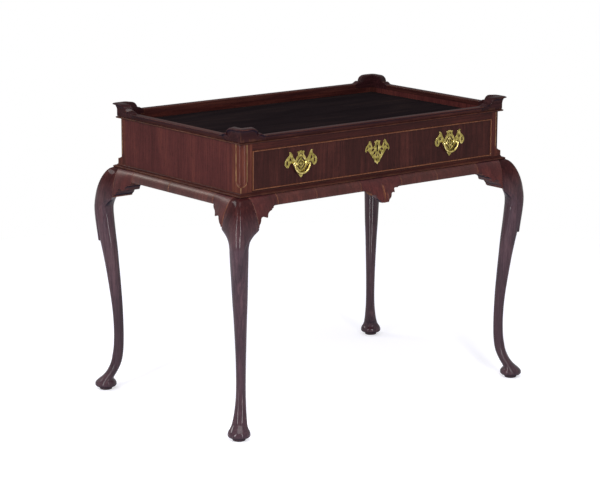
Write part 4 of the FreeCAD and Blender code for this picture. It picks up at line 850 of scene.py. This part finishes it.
# ---- Legs: knee with a raised lappet, tapering leg, pad foot ----
# Height: how far the leg's front and back lie along the diagonal from the ledge's corner,
# where it is widest, half its width, and the roundness of its front and back.
LEG = [
    (13, 51.8, -0.8, 25.5, 26.3, 2, 2), (17, 51.4, -0.6, 25.4, 25.9, 2, 2),
    (21, 48.6, 1.6, 24.6, 24.6, 2, 2), (26, 43, 6, 22.6, 21.6, 1.98, 2),
    (33, 34.4, 4, 17.8, 18.6, 1.95, 2), (42, 26, -1.4, 11.4, 16.6, 1.92, 2),
    (56, 17.4, -8.8, 3.8, 14.6, 1.9, 2), (71, 11.3, -14.4, -1.6, 13.2, 1.88, 2),
    (87, 8, -17.6, -4.8, 12, 1.86, 2), (102, 5.5, -19.3, -6.9, 11.5, 1.85, 2),
    (125, 3.9, -20.3, -8.2, 11.3, 1.84, 2), (150, 3.6, -20.5, -8.4, 11.5, 1.82, 2),
    (190, 5.5, -19.6, -7, 12.3, 1.8, 1.95), (220, 8.5, -18.4, -4.9, 13.3, 1.78, 1.95),
    (250, 12.6, -16.5, -2, 14.4, 1.76, 1.9), (280, 17, -14.4, 1.3, 15.6, 1.74, 1.9),
    (310, 21.7, -12, 4.8, 17.2, 1.72, 1.9), (340, 27.2, -9.7, 8.7, 18.4, 1.68, 1.9),
    (360, 31.2, -8, 11.4, 19.1, 1.64, 1.9), (380, 35.4, -5.8, 14.2, 19.8, 1.58, 1.9),
    (405, 40, -3.2, 17.6, 20.8, 1.5, 1.85), (430, 43.6, -1, 20, 21.7, 1.44, 1.8),
    (448, 45.2, 0.2, 20.6, 22.4, 1.38, 1.7), (462, 45.4, -0.4, 17, 25.8, 1.3, 1.5),
    (472, 44.7, -3.4, 8, 32.2, 1.24, 1.3), (482, 44.1, -8, -2.5, 41.8, 1.18, 1.15),
    (484, 43.9, -9, -3.2, 42.8, 1.18, 1.15)]
# Height: the lappet's half width, and how far it stands off the leg.
LAPPET = [
    (0, 3, 0), (300, 3, 0), (369, 3, 0), (371.8, 1.2, 0), (372.2, 1.2, 4.2), (376, 3, 4.2),
    (384, 4.8, 3.4), (399, 7, 2.6), (423, 9.6, 2), (441, 13.5, 1.8), (459, 19, 1.7),
    (472, 27, 1.5), (483, 40, 0.4), (600, 42, 0)]


def leg():
    """The leg at the back right corner as rings from the pad to the case.

    A ring is a superellipse in two halves, |x|^n + |y|^n = 1, widest where the table says.
    The lappet lifts the front within its half width, with a short step at its edge.
    """
    low = np.concatenate([np.linspace(13.0, 60.0, 24), np.linspace(64.0, 360.0, 56),
                          np.linspace(364.0, 371.8, 3), [372.2, 373.2, 374.6, 376.4, 379.0],
                          np.linspace(382.0, 482.0, 40)])
    front, back, middle, width, round_front, round_back = through(LEG, low)
    drops = np.linspace(70.0, 0.0, 26)
    high = CASE_FLOOR - drops
    swell = knee(drops)
    side = knee_side(drops)
    dx, dy = -knee_joint(drops) - LEDGE, side - LEDGE
    high_middle = (dx + dy) / ROOT2
    high_width = (dy - dx) / ROOT2
    deep = np.interp(drops, [0.0, 26.0, 34.0, 44.0, 55.0, 64.0, 72.0],
                     [-58.0, -58.0, -55.0, -44.0, -28.0, -15.0, -8.0])
    heights = np.concatenate([low, high])
    front = np.concatenate([front, swell])[:, None]
    middle = np.concatenate([middle, high_middle])[:, None]
    back = np.minimum(np.concatenate([back, deep])[:, None], middle - 2.0)
    width = np.concatenate([width, high_width])[:, None]
    round_front = np.concatenate([round_front, np.interp(drops, [0, 30, 72], [1.04, 1.1, 1.18])])
    round_back = np.concatenate([round_back, np.full(len(drops), 1.1)])
    lappet_half = np.interp(heights, *np.array(LAPPET)[:, [0, 1]].T)[:, None]
    lift = np.interp(heights, *np.array(LAPPET)[:, [0, 2]].T)[:, None]
    lappet_half = np.minimum(lappet_half, width * 0.93)
    # Across the front: the lappet, a step 0.5 mm wide, and the leg's side.
    panel = lappet_half * np.sin(angles(0.0, 1.0, 9) / 2)[None, :]
    step = lappet_half + np.array([[0.12, 0.35, 0.6]])
    rest = np.arcsin(np.clip((lappet_half + 0.9) / width, 0.0, 0.999))
    turn = rest + (math.pi / 2 - rest) * np.linspace(0.0, 1.0, 12)[None, :]
    aside = np.concatenate([panel, step, width * np.sin(turn)], 1)
    # The crest is eased: near the diagonal the share grows like a parabola.
    ease = np.interp(heights, [20.0, 100.0], [0.2, 4.5])[:, None]
    share = (np.sqrt(aside ** 2 + ease ** 2) - ease) / (np.sqrt(width ** 2 + ease ** 2) - ease)
    share = np.clip(share, 0.0, 1.0)
    power = round_front[:, None]
    out = middle + (front - middle) * np.maximum(1.0 - share ** power, 0.0) ** (1.0 / power)
    raised = np.concatenate([np.ones(panel.shape[1]), [0.8, 0.3, 0.05], np.zeros(turn.shape[1])])
    out = out + raised[None, :] * lift
    around = angles(0.0, 0.5, 12)[1:]
    power = round_back[:, None]
    back_aside = width * np.cos(around)[None, :] ** (2.0 / power)
    back_out = middle - (middle - back) * np.sin(around)[None, :] ** (2.0 / power)
    aside = np.concatenate([aside, back_aside], 1)
    out = np.concatenate([out, back_out], 1)
    # The other half of each ring, without the two points on the diagonal.
    aside = np.concatenate([aside, -aside[:, -2:0:-1]], 1)
    out = np.concatenate([out, out[:, -2:0:-1]], 1)
    x = HALF_LENGTH + LEDGE + (out + aside) / ROOT2
    y = HALF_DEPTH + LEDGE + (out - aside) / ROOT2
    rings = np.stack([x, y, np.broadcast_to(heights[:, None], x.shape)], -1)
    # Under the disc the foot turns in to a short pad: circles about its centre.
    count = rings.shape[1]
    pad = 25.5                                     # from the ledge's corner to the pad's middle
    corner = (pad / ROOT2 + LEDGE) * np.ones(2) + (HALF_LENGTH, HALF_DEPTH)
    centre = np.append(corner, rings[0, 0, 2])
    spokes = rings[0] - centre
    spokes /= np.linalg.norm(spokes, axis=1, keepdims=True)
    base_radius = np.array([13.6, 14.8, 15.3, 15.5, 15.4, 16.2, 19.6, 23.4, 25.5, 26.2])
    base_height = np.array([0.0, 0.5, 1.6, 4.0, 5.6, 6.3, 6.9, 8.0, 9.8, 11.6])
    base = centre[None, None, :2] + base_radius[:, None, None] * spokes[None, :, :2]
    base = np.concatenate([base, np.broadcast_to(base_height[:, None, None],
                                                 (len(base_height), count, 1))], 2)
    return loft(np.concatenate([base, rings]))


def post():
    """The square post at the back right corner, its outer corner worked as a quarter column.

    The corner is given by its distance from the column's centre for each direction: the
    square's sides, the column's circle, and the slanting stop, whichever lies furthest in.
    """
    radius, quirk, near = 17.5, 1.4, 1.8           # near: a line of points beside each quirk, so a thin painted glint runs along it
    foot, rising = 576.0, 12.0                     # where the stop starts, and its height
    heights = np.concatenate([[CASE_FLOOR, foot - 0.4],
                              foot + rising * np.linspace(0.0, 1.0, 22) ** 2,
                              [590.0, 640.0, TRAY_SEAT, TRAY_SEAT, 673.0, 677.9]])
    turn = np.concatenate([[0.0, 0.0], np.linspace(0.004, 0.5 - 0.004, 31), [0.5, 0.5]]) * math.pi
    square = radius / np.maximum(np.cos(turn), np.sin(turn))
    column = np.full(len(turn), radius - quirk)
    column[0] = column[-1] = radius
    climb = (heights - foot)[:, None]
    # The stop draws in like a quarter circle: flat at its foot, upright where it ends.
    rise = np.clip(climb / rising, 0.0, 1.0)
    stop = radius / ROOT2 * (2.0 - np.sqrt(rise * (2.0 - rise)))
    stop = np.where(climb < rising, stop, 0.0) / np.cos(turn - math.pi / 4)[None, :]
    away = np.minimum(square[None, :], np.maximum(column[None, :], stop))
    away = np.where(climb < 0.0, square[None, :], away)
    centre_x, centre_y = HALF_LENGTH - radius, HALF_DEPTH - radius
    x = centre_x + away * np.cos(turn)
    y = centre_y + away * np.sin(turn)
    inner_x, inner_y = HALF_LENGTH - POST, HALF_DEPTH - POST
    flat = np.ones((len(heights), 1))
    # Above its seat the tray board's corner lies in a notch that leaves the rails' lip.
    notched = np.arange(len(heights))[:, None] > np.flatnonzero(heights == TRAY_SEAT)[0]
    lip_x, lip_y = HALF_LENGTH - LIP, HALF_DEPTH - LIP
    corner_x, corner_y = np.where(notched, lip_x, inner_x), np.where(notched, lip_y, inner_y)
    x = np.concatenate([corner_x, flat * lip_x, flat * HALF_LENGTH, flat * HALF_LENGTH, x,
                        flat * (centre_x - near), flat * inner_x, flat * inner_x], 1)
    y = np.concatenate([corner_y, flat * inner_y, flat * inner_y, flat * (centre_y - near), y,
                        flat * HALF_DEPTH, flat * HALF_DEPTH, flat * lip_y], 1)
    return loft(np.stack([x, y, np.broadcast_to(heights[:, None], x.shape)], -1))


for corner, *_, x, y in CORNERS:
    stand_in(f"leg_{corner}", "carved", mirrored(leg(), x, y), leg_wood, crease=60.0)
    solid(f"post_{corner}_turned", mirrored(post(), x, y), post_wood, "table", [], crease=30.0)


# ---- Drawer: cockbeads and brasses ----
def cockbeads():
    """Four half-round strips let in round the drawer front, mitred at its corners."""
    half_x, low, high = 369.0, 565.7, 656.7
    turn = angles(0.0, 1.0, 9)
    across = np.concatenate([[0.0], 1.5 - 1.5 * np.cos(turn), [3.0]])
    proud = np.concatenate([[-8.0], 1.0 + 1.5 * np.sin(turn), [-8.0]])
    ends = np.array(WAYS)[:, None]
    bottom = place("front", ends * (half_x - across), proud, low + across)
    top = place("front", ends * (half_x - across), proud, high - across)
    middle, half_z = (low + high) / 2, (high - low) / 2
    stiles = [place("front", way * (half_x - across), proud, middle + ends * (half_z - across))
              for way in WAYS]
    return joined(*[loft(sections) for sections in (bottom, top, *stiles)])


stand_in("cockbeads", "rounded", cockbeads(), bead_wood, "drawer")

# Half of each plate and its windows, right of its middle: (across, up).
HANDLE_PLATE = [
    (0, 29.5), (3.5, 29), (5, 27), (8.5, 28.5), (10.5, 26), (8, 23), (9.5, 18), (13, 15),
    (14.5, 11), (17.5, 7.5), (19.5, 12), (22.5, 15.5), (24.5, 21), (26.8, 25.6), (31, 29),
    (35.5, 28.5), (33, 25.5), (34.5, 20), (41.8, 15), (46.9, 8), (47.6, -0.6), (42, -7),
    (36.5, -7.5), (34, -3.5), (31, 2), (26.5, 3), (24, 2), (21.5, -3.5), (16.5, -11), (12, -17),
    (8.5, -22), (6.5, -25.5), (5.5, -27.5), (0, -34)]
HANDLE_HOLES = [
    [(0.9, 26.4), (5.8, 18.4), (3.2, 18.2), (0.9, 21.6)],
    [(1.1, 17.2), (12.8, 4.8), (11, 1.4), (9.4, 3.2), (1.1, 12.4)],
    [(1.1, -17.2), (12.8, -4.8), (11, -1.4), (9.4, -3.2), (1.1, -12.4)],
    [(1.2, 1.2), (1.2, 8.8), (7, 1.2)],
    [(1.2, -1.2), (7, -1.2), (1.2, -8.8)],
    [(0.9, -20.4), (4.8, -20.4), (0.9, -28.6)],
    [(27.4, 7.4), (31, 18.8), (34.8, 9.4)],
    [(38, 9.4), (41.8, 8), (42.6, 0.4), (38.2, -2)]]
KEY_PLATE = [
    (0, 19.5), (3, 18.5), (4.5, 17), (8, 18.5), (9, 15.5), (7, 13), (8, 7), (12, 2.5), (15, 5.5),
    (18, 11), (20.5, 18), (23.5, 19.5), (26.5, 17), (27.5, 12.5), (33.3, 8), (36.6, 1.5),
    (37.4, -4.6), (34.5, -7.5), (31.5, -2.5), (27.5, -4), (24, -9), (19, -14.5), (14, -22),
    (8.5, -27.5), (7.5, -33), (3.5, -33.5), (0, -39)]
KEY_HOLES = [
    [(19.6, 2.6), (22.6, 13), (26.4, 4.4)],
    [(28.6, 5.4), (32.6, 3), (33.2, -2.8), (29.2, 0.4)],
    [(4.8, 10.6), (6.2, 8.2), (5, 2.6), (4.4, 5)],
    [(8.6, -0.6), (15.8, 1.2), (18.4, -6.6), (12, -5.2)],
    [(5.2, -5), (11.4, -9), (12.6, -16.4), (5.6, -12.4)],
    [(1, -11.4), (4.2, -14.2), (4.6, -21), (1, -18)],
    [(1, -22.6), (5.4, -24.6), (1, -32.6)]]


def flat_plate(outlines, thickness, bevel):
    """Filled outlines in the X-Y plane, given a thickness and an eased edge, as a mesh."""
    data = bpy.data.curves.new("plate_outline", "CURVE")
    data.dimensions = "2D"
    data.fill_mode = "BOTH"
    data.extrude = (thickness / 2 - bevel) * MM
    data.bevel_depth = bevel * MM
    data.bevel_resolution = 2
    data.offset = -bevel * MM
    for outline in outlines:
        spline = data.splines.new("POLY")
        spline.points.add(len(outline) - 1)
        flat = np.zeros((len(outline), 4))
        flat[:, :2] = np.asarray(outline) * MM
        flat[:, 3] = 1.0
        spline.points.foreach_set("co", flat.ravel())
        spline.use_cyclic_u = True
    shape = bpy.data.objects.new("plate_outline", data)
    bpy.context.scene.collection.objects.link(shape)
    bpy.context.view_layer.update()
    evaluated = shape.evaluated_get(bpy.context.evaluated_depsgraph_get())
    mesh = bpy.data.meshes.new_from_object(evaluated)
    bpy.data.objects.remove(shape)
    return mesh


def both_halves(half):
    """A closed outline from its right half, which starts and ends on the middle line."""
    half = np.asarray(half, float)
    return np.concatenate([half, half[-2:0:-1] * np.array([-1.0, 1.0])])


def softened(outline):
    """Corners cut off at a fifth and four fifths of each edge, and then once more."""
    outline = np.asarray(outline, float)
    for _ in range(2):
        ahead = np.roll(outline, -1, 0)
        outline = np.stack([0.8 * outline + 0.2 * ahead, 0.2 * outline + 0.8 * ahead],
                           1).reshape(-1, 2)
    return outline


def circle(across, up, radius, count=20):
    """Points spaced evenly round a circle."""
    turn = whole_turn(count)
    return np.stack([across + radius * np.cos(turn), up + radius * np.sin(turn)], 1)


def brass_plate(name, half, holes, centre, extra, stands_for):
    """A pierced plate on the drawer front: outline, mirrored windows and round holes."""
    outlines = [softened(both_halves(half))]
    for hole in holes:
        for way in (1.0, -1.0):
            outlines.append(softened(np.asarray(hole) * np.array([way, 1.0])))
    mesh = flat_plate(outlines + extra, PLATE, 0.45)
    middle = Vector((centre[0], -(HALF_DEPTH + PLATE / 2), centre[1])) * MM
    mesh.transform(Matrix.Translation(middle) @ Matrix.Rotation(math.radians(90.0), 4, "X"))
    return finished(name, mesh, brass, "drawer", stands_for, crease=28.0)


def keyhole_outline():
    """A round eye over a slot that widens a little downwards."""
    turn = angles(-0.22, 1.22, 16)
    eye = np.stack([2.8 * np.cos(turn), 5.8 + 2.8 * np.sin(turn)], 1)
    return np.concatenate([eye, [(-2.1, -8.0), (2.1, -8.0)]])


post_holes = [circle(BAIL_PIN, 0.0, 2.1), circle(-BAIL_PIN, 0.0, 2.1)]
# One node holds both handle plates, and the left piece stands for it.
for name, way, nodes in (("left", -1.0, ["handle_plates"]), ("right", 1.0, [])):
    brass_plate(f"handle_plate_{name}_pierced", HANDLE_PLATE, HANDLE_HOLES,
                (HANDLE_X * way, HANDLE_Z), post_holes, nodes)
brass_plate("escutcheon_pierced", KEY_PLATE, KEY_HOLES, (0.0, 624.0),
            [keyhole_outline(), circle(0.0, 13.0, 1.6)], ["escutcheon"])


def turned(profile, centre, count=28):
    """A turned piece about an axis along Y: rings of (radius, distance out of the face)."""
    radius, out = np.asarray(profile, float).T
    around = whole_turn(count)[None, :]
    x = centre[0] + radius[:, None] * np.cos(around)
    z = centre[1] + radius[:, None] * np.sin(around)
    y = np.broadcast_to(-(HALF_DEPTH + out[:, None]), x.shape)
    return loft(np.stack([x, y, z], -1))


POST_HEAD = [
    (0.6, -24), (1.9, -23.6), (2, -22), (2, 1.4), (4.6, 1.5), (4.9, 1.9), (4.6, 2.5), (3.6, 2.9),
    (2.6, 3.4), (2.3, 4.2), (2.8, 4.9), (3.3, 5.8), (3.5, 7), (3.3, 8.2), (2.7, 9.3), (1.9, 9.9),
    (1.5, 10.3), (1.6, 10.7), (1.1, 11.2), (0.3, 11.4)]
stand_in("handle_posts", "turned",
         joined(*[turned(POST_HEAD, (HANDLE_X * side + BAIL_PIN * way, HANDLE_Z))
                  for side in WAYS for way in WAYS]), brass, "drawer")


def bail(way):
    """A hanging half ring: a circle carried along pin, elbow and bow, thickest at the middle."""
    ring, reach, count = 22.4, BAIL_PIN - 1.4, 45
    bow = angles(1.0, 2.0, count)
    path_x = np.concatenate([[-reach, -ring + 2.4], ring * np.cos(bow), [ring - 2.4, reach]])
    path_z = np.concatenate([[0.0, 0.0], ring * np.sin(bow), [0.0, 0.0]])
    thick = 1.9 + 0.55 * smooth(1.0 - np.abs(np.linspace(-1.0, 1.0, count)))
    thick = np.concatenate([[1.25, 1.25], thick, [1.25, 1.25]])
    path = np.stack([path_x, path_z], 1)
    ahead = np.gradient(path, axis=0)
    ahead /= np.linalg.norm(ahead, axis=1, keepdims=True)
    across = np.stack([-ahead[:, 1], ahead[:, 0]], 1)
    turn = whole_turn(16)
    offset = thick[:, None] * np.cos(turn)[None, :]
    x = HANDLE_X * way + path[:, :1] + across[:, :1] * offset
    z = HANDLE_Z + path[:, 1:] + across[:, 1:] * offset
    y = -(HALF_DEPTH + BAIL_OUT) + thick[:, None] * np.sin(turn)[None, :]
    return loft(np.stack([x, y, z], -1))


for name, way in zip(("bail_left", "bail_right"), WAYS):
    stand_in(name, "cast", bail(way), brass, name)

# ---- Finishes for the frame's own nodes that stay in sight ----
KEPT = {
    panel_wood: ["end_rail_left", "end_rail_right"],
    rail_wood: ["back_rail", "front_top_rail", "front_bottom_rail"],
    tray_wood: ["tray_board"],
    drawer_wood: ["drawer_front"],
    oak_wood: ["drawer_side_left", "drawer_side_right", "drawer_back", "drawer_bottom",
               "drawer_runners", "drawer_kickers", "drawer_stops", "glue_blocks"],
    brass: ["escutcheon_pins", "handle_nuts"],
    iron: ["lock_case", "lock_bolt", "lock_screws"],
}
for material, names in KEPT.items():
    for name in names:
        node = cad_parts[name]
        node.data.materials.clear()
        node.data.materials.append(material)
